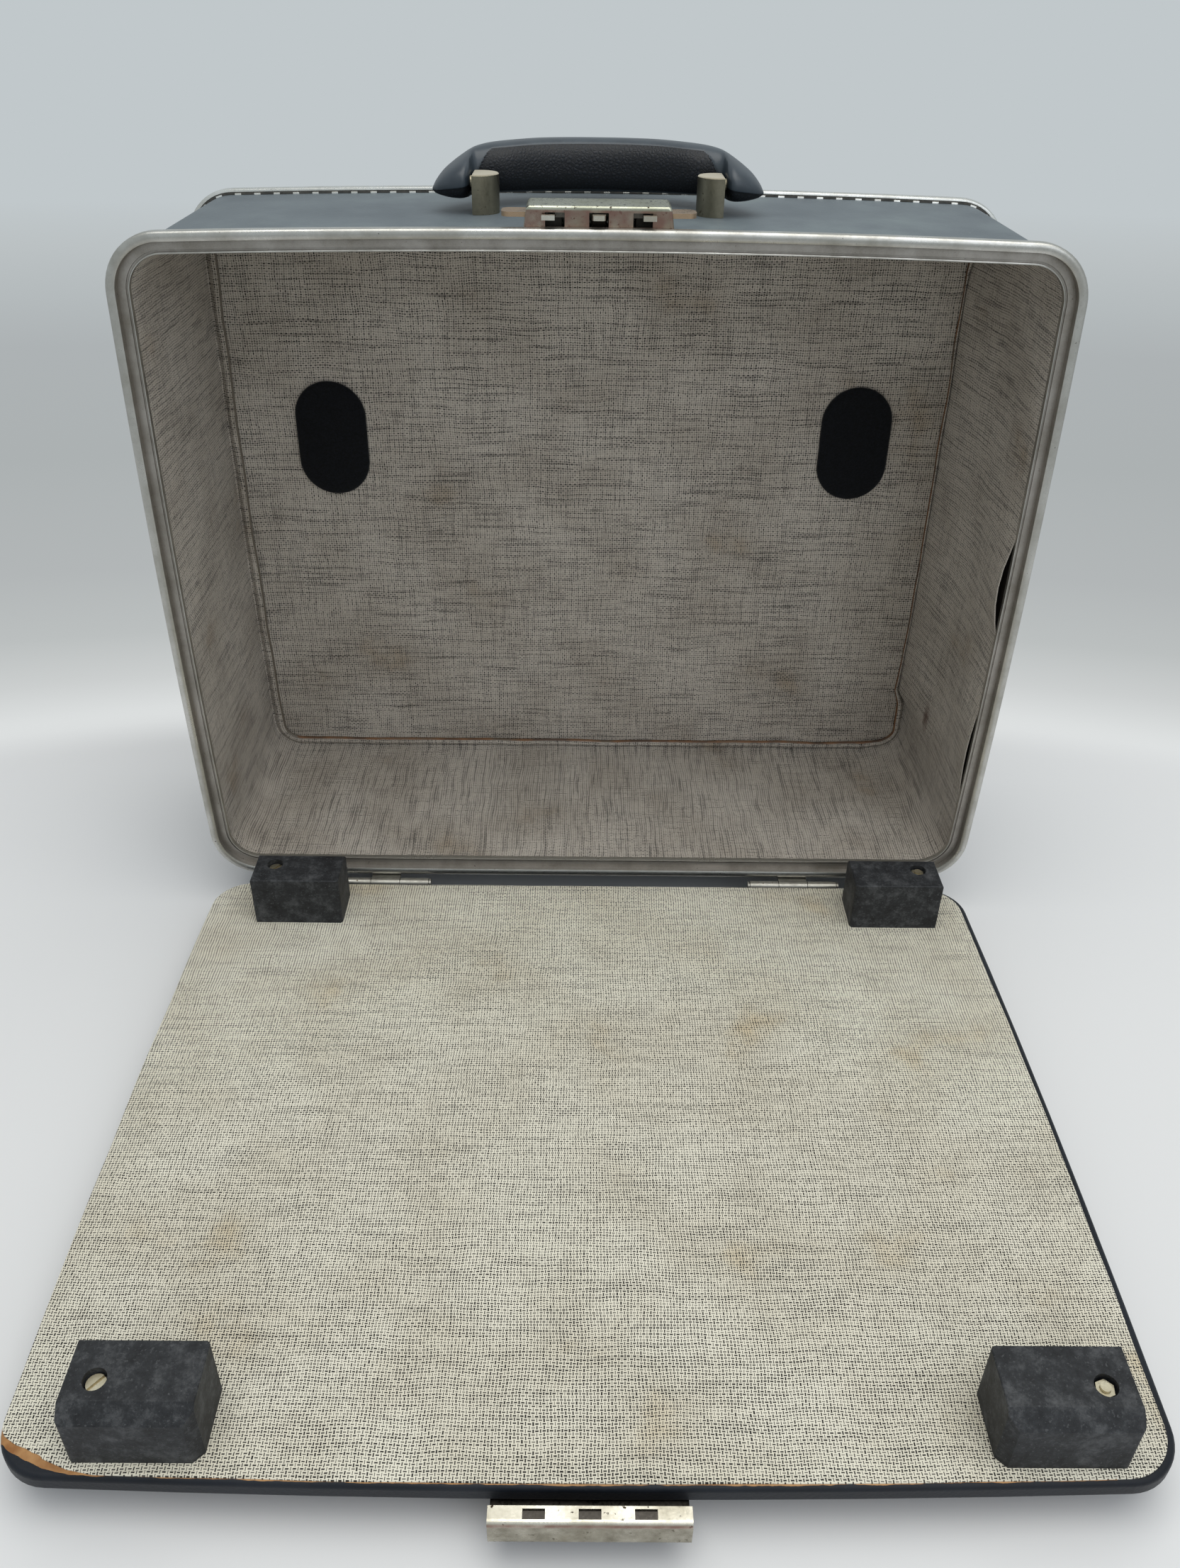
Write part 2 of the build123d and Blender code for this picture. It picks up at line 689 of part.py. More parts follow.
with BuildPart() as lid_side_lining:
    with BuildSketch(lid_plane(wall_start)):
        add(case_ring(frame_inner, lid_wall))
    extrude(amount=-(panel_depth - cloth - wall_start))
    with BuildSketch(lid_plane(panel_depth - 2 * cloth)):
        add(case_ring(frame_inner, lid_wall + seam_strip))
    extrude(amount=-cloth)
    with Locations(*[(x, post_y, lid_top) for x in post_xs]):
        Cylinder(post_screw_hole, 4 * lid_wall, mode=Mode.SUBTRACT)
save(lid_side_lining, "lid_side_lining")

with BuildPart() as rear_binding:
    with BuildSketch(lid_plane(lid_depth + binding_overhang - binding_length)):
        add(case_ring(-binding_proud, binding_inner))
    extrude(amount=-binding_length)
    rear_face = rear_binding.faces().filter_by(Axis.Y).sort_by(Axis.Y)[-1]
    front_face = rear_binding.faces().filter_by(Axis.Y).sort_by(Axis.Y)[0]
    fillet(
        rear_face.outer_wire().edges() + front_face.outer_wire().edges(), radius=binding_round
    )
    with BuildSketch(lid_plane(0)):
        add(case_outline(0))
    extrude(amount=-lid_depth, mode=Mode.SUBTRACT)
save(rear_binding, "rear_binding")

# ---------------------------------------------------------------- felt pads
pad_front = panel_depth - cloth - pad_thickness


def felt_pad(x_side):
    """Oval pad glued on the back panel."""
    with BuildPart() as pad:
        with BuildSketch(lid_plane(pad_front)):
            with Locations((x_side * (lid_width / 2 - pad_from_side), pad_above_middle)):
                SlotOverall(pad_height, pad_width, rotation=90)
        extrude(amount=-pad_thickness)
        fillet(pad.faces().sort_by(Axis.Y)[0].edges(), radius=pad_round)
    return pad


save(felt_pad(-1), "felt_pad_left")
save(felt_pad(1), "felt_pad_right")

# ---------------------------------------------------------------- bumpers of the rear wall
with BuildPart() as lid_bumpers:
    with Locations(*[(x, y, 0) for x, y in bumper_spots]):
        Cone(bumper_tip_diameter / 2, bumper_diameter / 2, lid_bottom, align=from_floor)
    fillet(
        lid_bumpers.edges().filter_by(GeomType.CIRCLE).group_by(Axis.Z)[0], radius=foot_round
    )
    with Locations(*[(x, y, 0) for x, y in bumper_spots]):
        Cylinder(
            foot_recess_diameter / 2, foot_screw_recess, align=from_floor, mode=Mode.SUBTRACT
        )
        Cylinder(foot_screw_hole, lid_bottom, align=from_floor, mode=Mode.SUBTRACT)
save(lid_bumpers, "lid_bumpers")
save(recessed_screws(bumper_spots, lid_bottom), "bumper_screws")

# ---------------------------------------------------------------- lock
lock_front_y = rim_y + lock_from_rim
lock_back_y = lock_front_y + lock_depth
slider_bottom = slider_height - slider_thickness / 2
slider_front_y = lock_front_y + slider_from_lock_face
slider_middle_y = slider_front_y + slider_length / 2
slider_back_y = slider_front_y + slider_length
plate_margin = 2 * lock_wall + hinge_gap
tongue_bottom = tongue_height - tongue_thickness / 2

with BuildPart() as lock_base_plate:
    with Locations((0, (lock_front_y + lock_back_y) / 2, lid_top)):
        Box(
            lock_width - 2 * lock_wall,
            lock_depth - plate_margin,
            lock_plate_thickness,
            align=from_floor,
        )
    guide_x = guide_from_middle + guide_width / 2
    with Locations(*[(s * guide_x, slider_middle_y, lid_top) for s in (-1, 1)]):
        Box(
            guide_width,
            slider_length - 1,
            slider_bottom - slider_gap,
            align=from_floor,
        )
    with Locations(*[(x, y, lid_top) for x, y in lock_rivet_spots]):
        Cylinder(rivet_hole, 4 * lock_plate_thickness, mode=Mode.SUBTRACT)
save(lock_base_plate, "lock_base_plate")


def lock_section(margin):
    """The housing's front shape, splayed at its foot, made smaller by a margin."""
    top_half = lock_width / 2 - margin
    foot_half = top_half + lock_flare
    with BuildSketch(Plane.XY, mode=Mode.PRIVATE) as section:
        with BuildLine():
            Polyline(
                (-foot_half, 0),
                (foot_half, 0),
                (top_half, lock_height - margin),
                (-top_half, lock_height - margin),
                close=True,
            )
        make_face()
        fillet(section.vertices().group_by(Axis.Y)[-1], radius=lock_round - margin)
    return section.sketch_local


def lock_plane(y):
    """Upright plane at y with its origin on the front wall, normal to the front."""
    return Plane(origin=(0, y, lid_top), x_dir=(1, 0, 0), z_dir=(0, -1, 0))


with BuildPart() as lock_housing:
    with BuildSketch(lock_plane(lock_front_y)):
        add(lock_section(0))
    extrude(amount=-lock_depth)
    top_edges = lock_housing.faces().sort_by(Axis.Z)[-1].edges().filter_by(Axis.X)
    fillet(top_edges, radius=lock_wall)
    with BuildSketch(lock_plane(lock_front_y + lock_wall)):
        add(lock_section(lock_wall))
    extrude(amount=-(lock_depth - 2 * lock_wall), mode=Mode.SUBTRACT)
    with BuildSketch(lock_plane(lock_front_y)):
        with Locations((0, window_bottom + window_height / 2)):
            with GridLocations(window_pitch, 1, 3, 1):
                Rectangle(window_width, window_height)
    extrude(amount=-2 * lock_wall, mode=Mode.SUBTRACT)
    with Locations((0, slider_middle_y, lid_top + slider_height)):
        Box(
            lock_width + 4 * lock_flare,
            slider_length + 2 * hinge_gap,
            slider_thickness + 2 * hinge_gap,
            mode=Mode.SUBTRACT,
        )
save(lock_housing, "lock_housing")

with BuildPart() as lock_tongue:
    tongue_front_y = lock_front_y - hook_reach
    with Locations((0, tongue_front_y, lid_top + tongue_bottom)):
        Box(
            tongue_width,
            slider_back_y - tongue_front_y,
            tongue_thickness,
            align=(Align.CENTER, Align.MIN, Align.MIN),
        )
    nose = lock_tongue.edges().filter_by(Axis.Z).group_by(Axis.Y)[0]
    fillet(nose, radius=tongue_width / 4)
    with Locations((0, slider_middle_y, lid_top + lock_plate_thickness)):
        Box(
            tongue_width,
            tongue_root,
            tongue_bottom - lock_plate_thickness,
            align=from_floor,
        )
save(lock_tongue, "lock_tongue")

# The hooks stand in the middle of the outer windows and reach out under the catch.
slot_outer_x = window_pitch + slot_width / 2
head_outer_x = slot_outer_x + hook_overhang
head_inner_x = head_outer_x - hook_head_width
tab_reach = slider_travel + thumb_hold
hook_front_y = lock_front_y - hook_reach


def lock_slider(x_side):
    """Slider with a thumb tab outside, a hook in front and a spring lug inside."""
    with BuildPart() as slider:
        with BuildSketch(Plane.XY.offset(lid_top + slider_bottom)):
            with Locations((x_side * (slider_inner + slider_outer) / 2, slider_middle_y)):
                Rectangle(slider_outer - slider_inner, slider_length)
            tab_middle = slider_outer + tab_reach / 2
            with Locations((x_side * tab_middle, slider_middle_y)):
                RectangleRounded(tab_reach + 2 * tab_corner, slider_length, tab_corner)
            neck_middle = x_side * (head_inner_x + hook_neck / 2)
            with Locations((neck_middle, (hook_front_y + slider_middle_y) / 2)):
                Rectangle(hook_neck, slider_middle_y - hook_front_y)
            head_middle = x_side * (head_inner_x + head_outer_x) / 2
            with Locations((head_middle, hook_front_y + hook_head_thickness / 2)):
                Rectangle(hook_head_width, hook_head_thickness)
        extrude(amount=slider_thickness)
        with Locations((x_side * (slider_inner + lug_width / 2), slider_middle_y)):
            with Locations((0, 0, lid_top + slider_bottom)):
                Box(lug_width, lug_length, lug_drop, align=from_ceiling)
    return slider


save(lock_slider(-1), "slider_left")
save(lock_slider(1), "slider_right")

spring_z = lid_top + slider_bottom - lug_drop / 2
spring_start = tongue_width / 2 + spring_wire
spring_length = slider_inner - spring_start - spring_wire


def lock_spring(x_side):
    """Small coil spring between the tongue's root and a slider's lug."""
    start = (x_side * spring_start, slider_middle_y, spring_z)
    with BuildPart() as spring:
        with BuildLine():
            coil = Helix(
                spring_length / spring_turns,
                spring_length,
                spring_radius,
                center=start,
                direction=(x_side, 0, 0),
            )
        with BuildSketch(Plane(origin=coil @ 0, z_dir=coil % 0)):
            Circle(spring_wire / 2)
        sweep(is_frenet=True)
    return spring


save(lock_spring(-1), "lock_spring_left")
save(lock_spring(1), "lock_spring_right")

with BuildPart() as lock_rivets:
    with Locations(*[(x, y, lid_top + lock_plate_thickness) for x, y in lock_rivet_spots]):
        Cylinder(rivet_hole, lock_plate_thickness + rivet_grip, align=from_ceiling)
        Cylinder(lock_rivet_head / 2, rivet_head_height, align=from_floor)
save(lock_rivets, "lock_rivets")

# ---------------------------------------------------------------- handle posts
post_base = lid_top - crown_drop(post_x - post_radius)
flat_x = post_x + post_flat
pivot_z = lid_top + pivot_height


def handle_post(x_side):
    """D-shaped post, its flat outboard, bored for the pivot pin and the screw."""
    with BuildPart() as post:
        with BuildSketch(Plane.XY.offset(post_base)):
            with Locations((x_side * post_x, post_y)):
                Circle(post_radius)
            with Locations((x_side * (flat_x - post_radius), post_y)):
                Rectangle(2 * post_radius, 2 * post_radius, mode=Mode.INTERSECT)
        extrude(amount=lid_top + post_height - post_base)
        chamfer(post.faces().sort_by(Axis.Z)[-1].edges(), length=post_chamfer)
        with Locations((x_side * (post_x - pivot_pin_inner), post_y, pivot_z)):
            Cylinder(
                pivot_pin_radius + pivot_clearance,
                2 * post_radius,
                rotation=(0, x_side * 90, 0),
                align=from_floor,
                mode=Mode.SUBTRACT,
            )
        with Locations((x_side * post_x, post_y, post_base)):
            Cylinder(
                post_screw_hole,
                post_screw_grip,
                align=from_floor,
                mode=Mode.SUBTRACT,
            )
    return post


save(handle_post(-1), "post_left")
save(handle_post(1), "post_right")

pin_length = pivot_pin_inner + pivot_pin_outer
pin_middle = post_x + (pivot_pin_outer - pivot_pin_inner) / 2
with BuildPart() as handle_pivot_pins:
    with Locations(*[(s * pin_middle, post_y, pivot_z) for s in (-1, 1)]):
        Cylinder(pivot_pin_radius, pin_length, rotation=(0, 90, 0))
save(handle_pivot_pins, "handle_pivot_pins")

washer_top = lid_top - lid_wall - crown_drop(post_x + washer_diameter / 2)
with BuildPart() as post_washers:
    with Locations(*[(x, post_y, washer_top) for x in post_xs]):
        Cylinder(washer_diameter / 2, washer_thickness, align=from_ceiling)
        Cylinder(post_screw_hole, 4 * washer_thickness, mode=Mode.SUBTRACT)
save(post_washers, "post_washers")

screw_seat = washer_top - washer_thickness
with BuildPart() as post_screws:
    with Locations(*[(x, post_y, screw_seat) for x in post_xs]):
        Cylinder(post_screw_head_diameter / 2, post_screw_head_height, align=from_ceiling)
        Cylinder(post_screw_hole, post_base + post_screw_grip - screw_seat, align=from_floor)
save(post_screws, "post_screws")

# ---------------------------------------------------------------- handle, lying back
# Its plan is a bow with an eye at each end. Its front view tapers to two points.
half_handle = handle_length / 2
eye_inner_x = flat_x + handle_side_gap
gap_front = post_radius + handle_post_gap
gap_side_x = post_x - post_radius - handle_post_gap

def both_halves(shares, width, height):
    """Points from the +x tip to the -x tip, from their shares on the +x side."""
    half = [(width * x, height * y) for x, y in shares]
    return half + [(-x, y) for x, y in reversed(half[:-1])]


bow = both_halves(bow_shares, half_handle, handle_reach)
crest = both_halves(crest_shares, half_handle, handle_top)
crest = [(half_handle, -tip_drop)] + crest + [(-half_handle, -tip_drop)]
lobe_nose = (lobe_nose_x_share * half_handle, -lobe_nose_y_share * lobe_front)
underside = [
    (lobe_share * half_handle, -lobe_bottom),
    (belly_share * half_handle, -(lobe_bottom + grip_bottom) / 2),
    (grip_share * half_handle, -grip_bottom),
]

with BuildPart() as handle:
    with BuildSketch(Plane(origin=(0, post_y, pivot_z - lobe_bottom))):
        with BuildLine():
            Spline(*bow)
            Spline((-half_handle, 0), (-lobe_nose[0], lobe_nose[1]),
                   (-eye_inner_x, -lobe_front), tangents=((0.2, -1), (1, 0)))
            Line((-eye_inner_x, -lobe_front), (-eye_inner_x, gap_front))
            Line((-eye_inner_x, gap_front), (-gap_side_x, gap_front))
            ThreePointArc(
                (-gap_side_x, gap_front), (0, handle_finger_gap), (gap_side_x, gap_front)
            )
            Line((gap_side_x, gap_front), (eye_inner_x, gap_front))
            Line((eye_inner_x, gap_front), (eye_inner_x, -lobe_front))
            Spline((eye_inner_x, -lobe_front), lobe_nose,
                   (half_handle, 0), tangents=((1, 0), (0.2, 1)))
        make_face()
    extrude(amount=lobe_bottom + handle_top)
    with BuildSketch(Plane(origin=(0, post_y - handle_reach, pivot_z),
                           x_dir=(1, 0, 0), z_dir=(0, -1, 0))):
        with BuildLine():
            Spline(*crest)
            Spline((half_handle, -tip_drop), *underside)
            Line(underside[-1], (-underside[-1][0], underside[-1][1]))
            Spline(*[(-x, z) for x, z in reversed(underside)], (-half_handle, -tip_drop))
        make_face()
    extrude(amount=-3 * handle_reach, mode=Mode.INTERSECT)
    with BuildSketch(side_plane(-half_handle)):
        with Locations((post_y - handle_top, pivot_z)):
            Rectangle(2 * handle_top, 4 * handle_top)
        with Locations((post_y, pivot_z)):
            Circle(lobe_radius, mode=Mode.SUBTRACT)
    extrude(amount=handle_length, mode=Mode.SUBTRACT)
    with Locations(*[(s * eye_inner_x, post_y, pivot_z) for s in (-1, 1)]):
        Cylinder(
            pivot_pin_radius + pivot_clearance,
            2 * (post_x + pivot_pin_outer + handle_side_gap - eye_inner_x),
            rotation=(0, 90, 0),
            mode=Mode.SUBTRACT,
        )
save(handle, "handle")
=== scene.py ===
# %% [markdown]
# # A portable typewriter case
# The case is a thin base board with a deep lid hinged to its back edge. A sprung lock and a folding
# handle sit on the lid's front wall, which is its top when it stands open. The CAD model gives every
# part its size and place, and this script gives each one its shape in detail and its finish.
# The CAD is loaded first, because everything else is set against it.

# %% Load the CAD frame
import json
import math

import bmesh
import bpy
from mathutils import Matrix, Vector, noise


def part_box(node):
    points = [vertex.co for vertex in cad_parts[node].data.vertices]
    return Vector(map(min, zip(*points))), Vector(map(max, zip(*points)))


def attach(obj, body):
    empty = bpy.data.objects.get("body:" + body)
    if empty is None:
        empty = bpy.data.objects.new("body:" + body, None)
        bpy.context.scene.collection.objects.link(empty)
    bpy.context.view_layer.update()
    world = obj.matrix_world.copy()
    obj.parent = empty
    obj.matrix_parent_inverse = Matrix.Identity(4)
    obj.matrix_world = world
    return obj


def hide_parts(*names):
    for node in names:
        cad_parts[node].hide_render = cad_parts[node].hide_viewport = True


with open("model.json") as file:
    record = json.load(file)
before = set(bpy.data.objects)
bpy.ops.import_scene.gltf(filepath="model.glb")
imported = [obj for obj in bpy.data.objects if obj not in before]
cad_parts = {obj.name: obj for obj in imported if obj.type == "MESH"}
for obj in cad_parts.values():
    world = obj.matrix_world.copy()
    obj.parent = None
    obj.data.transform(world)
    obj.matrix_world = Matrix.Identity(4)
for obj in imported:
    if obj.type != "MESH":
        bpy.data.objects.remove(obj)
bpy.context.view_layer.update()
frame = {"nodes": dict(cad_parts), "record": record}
scene = bpy.context.scene
mm = 0.001

# %% [markdown]
# ## The camera
# A phone's wide lens, held about 37 cm above the table and in front of the base, tips down a little
# more than a third of a right angle. A camera's matrix has its right, up and backward directions as
# columns, so those are worked out from the pitch, yaw and roll, which are easier to think in.

# %% Place the camera
picture_height = 2212
focal_length_px = 1741
sensor_side = 36.0
camera_place = Vector((-4.3, -369.5, 371.5)) * mm
pitch, yaw, roll = (math.radians(angle) for angle in (33.39, -0.49, 0.82))

level_forward = Vector((-math.sin(yaw), math.cos(yaw), 0))
level_right = Vector((math.cos(yaw), math.sin(yaw), 0))
world_up = Vector((0, 0, 1))
forward = math.cos(pitch) * level_forward - math.sin(pitch) * world_up
level_up = math.sin(pitch) * level_forward + math.cos(pitch) * world_up
camera_right = math.cos(roll) * level_right + math.sin(roll) * level_up
camera_up = math.cos(roll) * level_up - math.sin(roll) * level_right

camera_data = bpy.data.cameras.new("camera")
camera_data.sensor_width = sensor_side
camera_data.lens = sensor_side * focal_length_px / picture_height
camera = bpy.data.objects.new("camera", camera_data)
axes = Matrix((camera_right, camera_up, -forward)).transposed()
camera.matrix_world = Matrix.Translation(camera_place) @ axes.to_4x4()
scene.collection.objects.link(camera)
scene.camera = camera
print("lens", round(camera_data.lens, 2), "mm")

# %% [markdown]
# ## Helpers for materials
# Colours are written as sRGB hex, as a paint program shows them, but shaders work in linear light.
# One function turns the first into the second. Another adds a node with its settings and links, so a
# finish reads as a short list of what feeds what.

# %% Colour and node helpers
def linear(hex_colour):
    """An sRGB hex colour as the linear colour that a shader's socket holds."""
    channels = [int(hex_colour[i:i + 2], 16) / 255 for i in (1, 3, 5)]
    light = [c / 12.92 if c <= 0.04045 else ((c + 0.055) / 1.055) ** 2.4 for c in channels]
    return (*light, 1.0)


def output_of(source):
    """A node stands for its first output, and an output for itself."""
    return source.outputs[0] if isinstance(source, bpy.types.Node) else source


def add_node(tree, kind, inputs=None, stops=(), **settings):
    """One node of that kind. An input is a value, a hex colour, a node or a node's output. A ramp's
    stop is a position with a hex colour, or with a share from 0 to 1."""
    made = tree.nodes.new("ShaderNode" + kind)
    for setting, value in settings.items():
        setattr(made, setting, value)
    for socket, value in (inputs or {}).items():
        if isinstance(value, (bpy.types.Node, bpy.types.NodeSocket)):
            tree.links.new(output_of(value), made.inputs[socket])
        else:
            made.inputs[socket].default_value = linear(value) if isinstance(value, str) else value
    if stops:
        ramp = made.color_ramp.elements
        ramp.remove(ramp[-1])
        for index, (position, colour) in enumerate(stops):
            stop = ramp.new(position) if index else ramp[0]
            stop.position = position
            stop.color = linear(colour) if isinstance(colour, str) else (colour,) * 3 + (1.0,)
    return made


# Noise scales count features per metre, so a feature size is turned into a scale by its inverse.
def per_metre(size_mm):
    return 1 / (size_mm * mm)

# %% [markdown]
# A finish starts with the values that are the same all over. Noise then clouds its colour, and wear,
# dirt, and in places painted shade and painted light are colours laid over that, as much as some masks
# multiply to. Most masks only ask on which side of a level a point lies in the CAD frame.

# %% Finish helpers
def new_finish(name, colour, roughness, **sockets):
    """A material with its even values set, then its tree and the shaded point's place in it."""
    finish = bpy.data.materials.new(name)
    finish.use_nodes = True
    shader = finish.node_tree.nodes["Principled BSDF"]
    shader.inputs["Base Color"].default_value = linear(colour)
    shader.inputs["Roughness"].default_value = roughness
    for socket, value in sockets.items():
        shader.inputs[socket.replace("_", " ")].default_value = value
    return finish, finish.node_tree, add_node(finish.node_tree, "TexCoord").outputs["Object"]


def feed(finish, **sources):
    """Links nodes or outputs to the finish's shader."""
    shader = finish.node_tree.nodes["Principled BSDF"]
    for socket, source in sources.items():
        finish.node_tree.links.new(output_of(source), shader.inputs[socket.replace("_", " ")])


def cloud(finish, place, size_mm, stops, detail, rough=0.5):
    """Colours the finish by a noise of that size, and returns the noise for further use."""
    clouds = add_node(finish.node_tree, "TexNoise", {
        "Vector": place, "Scale": per_metre(size_mm), "Detail": detail, "Roughness": rough})
    feed(finish, Base_Color=add_node(finish.node_tree, "ValToRGB", {"Fac": clouds}, stops=stops))
    return clouds


def lay_over(finish, colour, *shares):
    """Mixes a colour over the finish's present one, as much as the shares multiply to."""
    tree = finish.node_tree
    under = tree.nodes["Principled BSDF"].inputs["Base Color"].links[0].from_socket
    share = shares[0]
    for factor in shares[1:]:
        share = add_node(tree, "Math", {0: share, 1: factor}, operation="MULTIPLY")
    over = add_node(tree, "Mix", {0: share, 6: under, 7: colour}, data_type="RGBA")
    feed(finish, Base_Color=over.outputs[2])


def place_in(finish):
    """The shaded point's place in the CAD frame, then its x, y and z, to build masks from."""
    place = add_node(finish.node_tree, "TexCoord").outputs["Object"]
    return (place, *add_node(finish.node_tree, "SeparateXYZ", {0: place}).outputs)


def beyond(along, level, direction=1, blur=0.005 * mm, most=1.0):
    """A mask from one output: 1 above the level, or below it where direction is -1."""
    return add_node(along.id_data, "MapRange", {
        "Value": along, "From Min": level - direction * blur, "From Max": level + direction * blur,
        "To Max": most})

# %% [markdown]
# ## Table and light
# The case stands on a pale table in soft daylight from above. The light comes from a plain sky and one
# large lamp overhead with a weaker one in front, so that shadows are wide and faint, and a colour
# comes out about as it is written. The table is one big sheet whose colour turns cooler with distance.

# %% Table
table_size = 60.0
table_mesh = bpy.data.meshes.new("table")
half_table = table_size / 2
table_corners = [(-half_table, -half_table, 0), (half_table, -half_table, 0),
                 (half_table, half_table, 0), (-half_table, half_table, 0)]
table_mesh.from_pydata(table_corners, [], [(0, 1, 2, 3)])
table = bpy.data.objects.new("table", table_mesh)
scene.collection.objects.link(table)

# Near the case the table is lit like paper. Further off it turns into a glowing backdrop with painted
# light and shade, which only the camera and reflections see, so the horizon stays pale and adds no
# light to the case.
horizon = "#c1c8cb"
paper_to, backdrop_from, backdrop_to = 0.25, 0.3, 2.2
paper, tree, place = new_finish("matt_paper_backdrop", "#eceeef", 0.9)
# Distances along x count for less, so the bands of painted shade behind the case lie nearly level.
squeezed = add_node(tree, "VectorMath", {0: place, 1: (0.45, 1, 1)}, operation="MULTIPLY")
distance = add_node(tree, "VectorMath", {0: squeezed}, operation="LENGTH").outputs["Value"]
far_share = add_node(tree, "MapRange", {
    "Value": distance, "From Min": paper_to, "From Max": backdrop_from},
    interpolation_type="SMOOTHSTEP")
backdrop_metres = add_node(tree, "MapRange", {
    "Value": distance, "From Min": paper_to, "From Max": backdrop_to})
# The backdrop paints the table's lit far edge first, as painted light, then painted shade behind the
# case, then the paler wall.
backdrop_with_painted_light_and_shade = add_node(tree, "ValToRGB", {"Fac": backdrop_metres}, stops=[
    (0.015, "#e1e4e4"), (0.044, "#cbcece"), (0.075, "#bbbfbf"), (0.128, "#b2b6b7"),
    (0.256, "#acb1b2"), (0.456, "#adb2b4"), (0.59, "#b4babc"), (0.77, "#bbc1c3"), (1.0, horizon)])
backdrop_glow = add_node(tree, "Emission", {"Color": backdrop_with_painted_light_and_shade})


def seen_rays(tree):
    """1 for rays from the camera, in reflections and through glass, and 0 for the rest."""
    rays = add_node(tree, "LightPath").outputs
    direct = add_node(tree, "Math", {0: rays["Is Camera Ray"], 1: rays["Is Glossy Ray"]},
                      operation="MAXIMUM")
    return add_node(tree, "Math", {0: direct, 1: rays["Is Transmission Ray"]},
                    operation="MAXIMUM")


glow_share = add_node(tree, "Math", {0: far_share, 1: seen_rays(tree)}, operation="MULTIPLY",
                      use_clamp=True)
table_look = add_node(tree, "MixShader", {
    0: glow_share, 1: tree.nodes["Principled BSDF"], 2: backdrop_glow})
tree.links.new(table_look.outputs[0], tree.nodes["Material Output"].inputs["Surface"])
table_mesh.materials.append(paper)

# %% [markdown]
# Light comes from a bluish sky and two square lamps, which are large for the case, so that no shadow
# has a hard edge. The camera and reflections see the plain horizon instead of the sky that lights.

# %% Sky and lamps
sky = bpy.data.worlds.new("sky")
scene.world = sky
sky.use_nodes = True
sky_tree = sky.node_tree
backdrop = sky_tree.nodes["Background"]
sky_strength = 0.42
backdrop.inputs["Color"].default_value = linear("#f2f5f8")
backdrop.inputs["Strength"].default_value = sky_strength
seen_sky = add_node(sky_tree, "Background", {"Color": horizon, "Strength": 1.0})
chosen_sky = add_node(sky_tree, "MixShader", {0: seen_rays(sky_tree), 1: backdrop, 2: seen_sky})
sky_tree.links.new(chosen_sky.outputs[0], sky_tree.nodes["World Output"].inputs["Surface"])


def add_lamp(name, place, aim, size, watts, colour):
    """A square soft lamp at place that points at aim."""
    lamp_data = bpy.data.lights.new(name, "AREA")
    lamp_data.size = size
    lamp_data.energy = watts
    lamp_data.color = linear(colour)[:3]
    lamp = bpy.data.objects.new(name, lamp_data)
    lamp.location = place
    lamp.rotation_euler = (Vector(aim) - Vector(place)).to_track_quat("-Z", "Y").to_euler()
    scene.collection.objects.link(lamp)


add_lamp("ceiling_lamp", (0.1, -0.15, 1.5), (0, 0, 0), 1.4, 13, "#fffdf8")
add_lamp("window_lamp", (0.7, -1.2, 1.1), (0, 0, 0.15), 1.2, 5, "#f4f8ff")
scene.view_settings.view_transform = "Standard"
print("sky", sky_strength, "and two lamps")

# %% [markdown]
# ## Fibre board
# The base panel and the lid's carcass are hardboard: wood fibres pressed with resin, tan on a broken
# edge and brown on the face. Short fibre flecks and a faint blotchiness give that away. The flecks are
# noise squeezed along one axis.

# %% Hardboard
def fibre_board(name, dark, body, light):
    finish, tree, place = new_finish(name, body, 0.8)
    squeezed = add_node(tree, "Mapping", {"Vector": place, "Scale": (1, 3, 3)})
    flecks = cloud(finish, squeezed, 3.0, [(0.3, dark), (0.5, body), (0.72, light)], 6.0, 0.7)
    dents = add_node(tree, "Bump", {"Height": flecks, "Strength": 0.4, "Distance": 0.2 * mm})
    feed(finish, Normal=dents)
    return finish


hardboard = fibre_board("hardboard_pressed", "#7d5228", "#a9773f", "#c99a5e")
# The lid's side frame shows only in a shaded gap, so its board is painted nearly black as painted
# shade.
shade_dark_board = fibre_board("hardboard_painted_shade", "#17120e", "#241b14", "#35281d")

# %% [markdown]
# ## Leathercloth
# The outside is leathercloth: cotton backed with PVC and rolled between hot embossed cylinders, which
# leaves a fine pebble grain of about a millimetre. The lid's is blue-grey and the base's nearly black.
# Voronoi cells make the pebbles, two scales of noise the dusty, rubbed patches, and a thresholded
# noise the few pale flecks.

# %% Leathercloth for lid and base
pebble_mm, patch_mm, speck_mm = 1.1, 45, 2.4


def leathercloth(name, body, rubbed, dark, roughness, specular):
    finish, tree, place = new_finish(name, body, roughness, IOR=1.5, Specular_IOR_Level=specular)
    patches = cloud(finish, place, patch_mm, [(0.3, dark), (0.5, body), (0.75, rubbed)], 5.0, 0.6)
    specks = add_node(tree, "TexNoise", {
        "Vector": place, "Scale": per_metre(speck_mm), "Detail": 2.0})
    lay_over(finish, rubbed, add_node(tree, "ValToRGB", {"Fac": specks}, stops=[
        (0.7, 0.0), (0.78, 0.5)]))
    shine = add_node(tree, "MapRange", {
        "Value": patches, "To Min": roughness - 0.1, "To Max": roughness + 0.15})
    pebbles = add_node(tree, "TexVoronoi", {"Vector": place, "Scale": per_metre(pebble_mm)})
    emboss = add_node(tree, "Bump", {
        "Height": pebbles.outputs["Distance"], "Strength": 0.35, "Distance": 0.12 * mm},
        invert=True)
    feed(finish, Roughness=shine, Normal=emboss)
    return finish


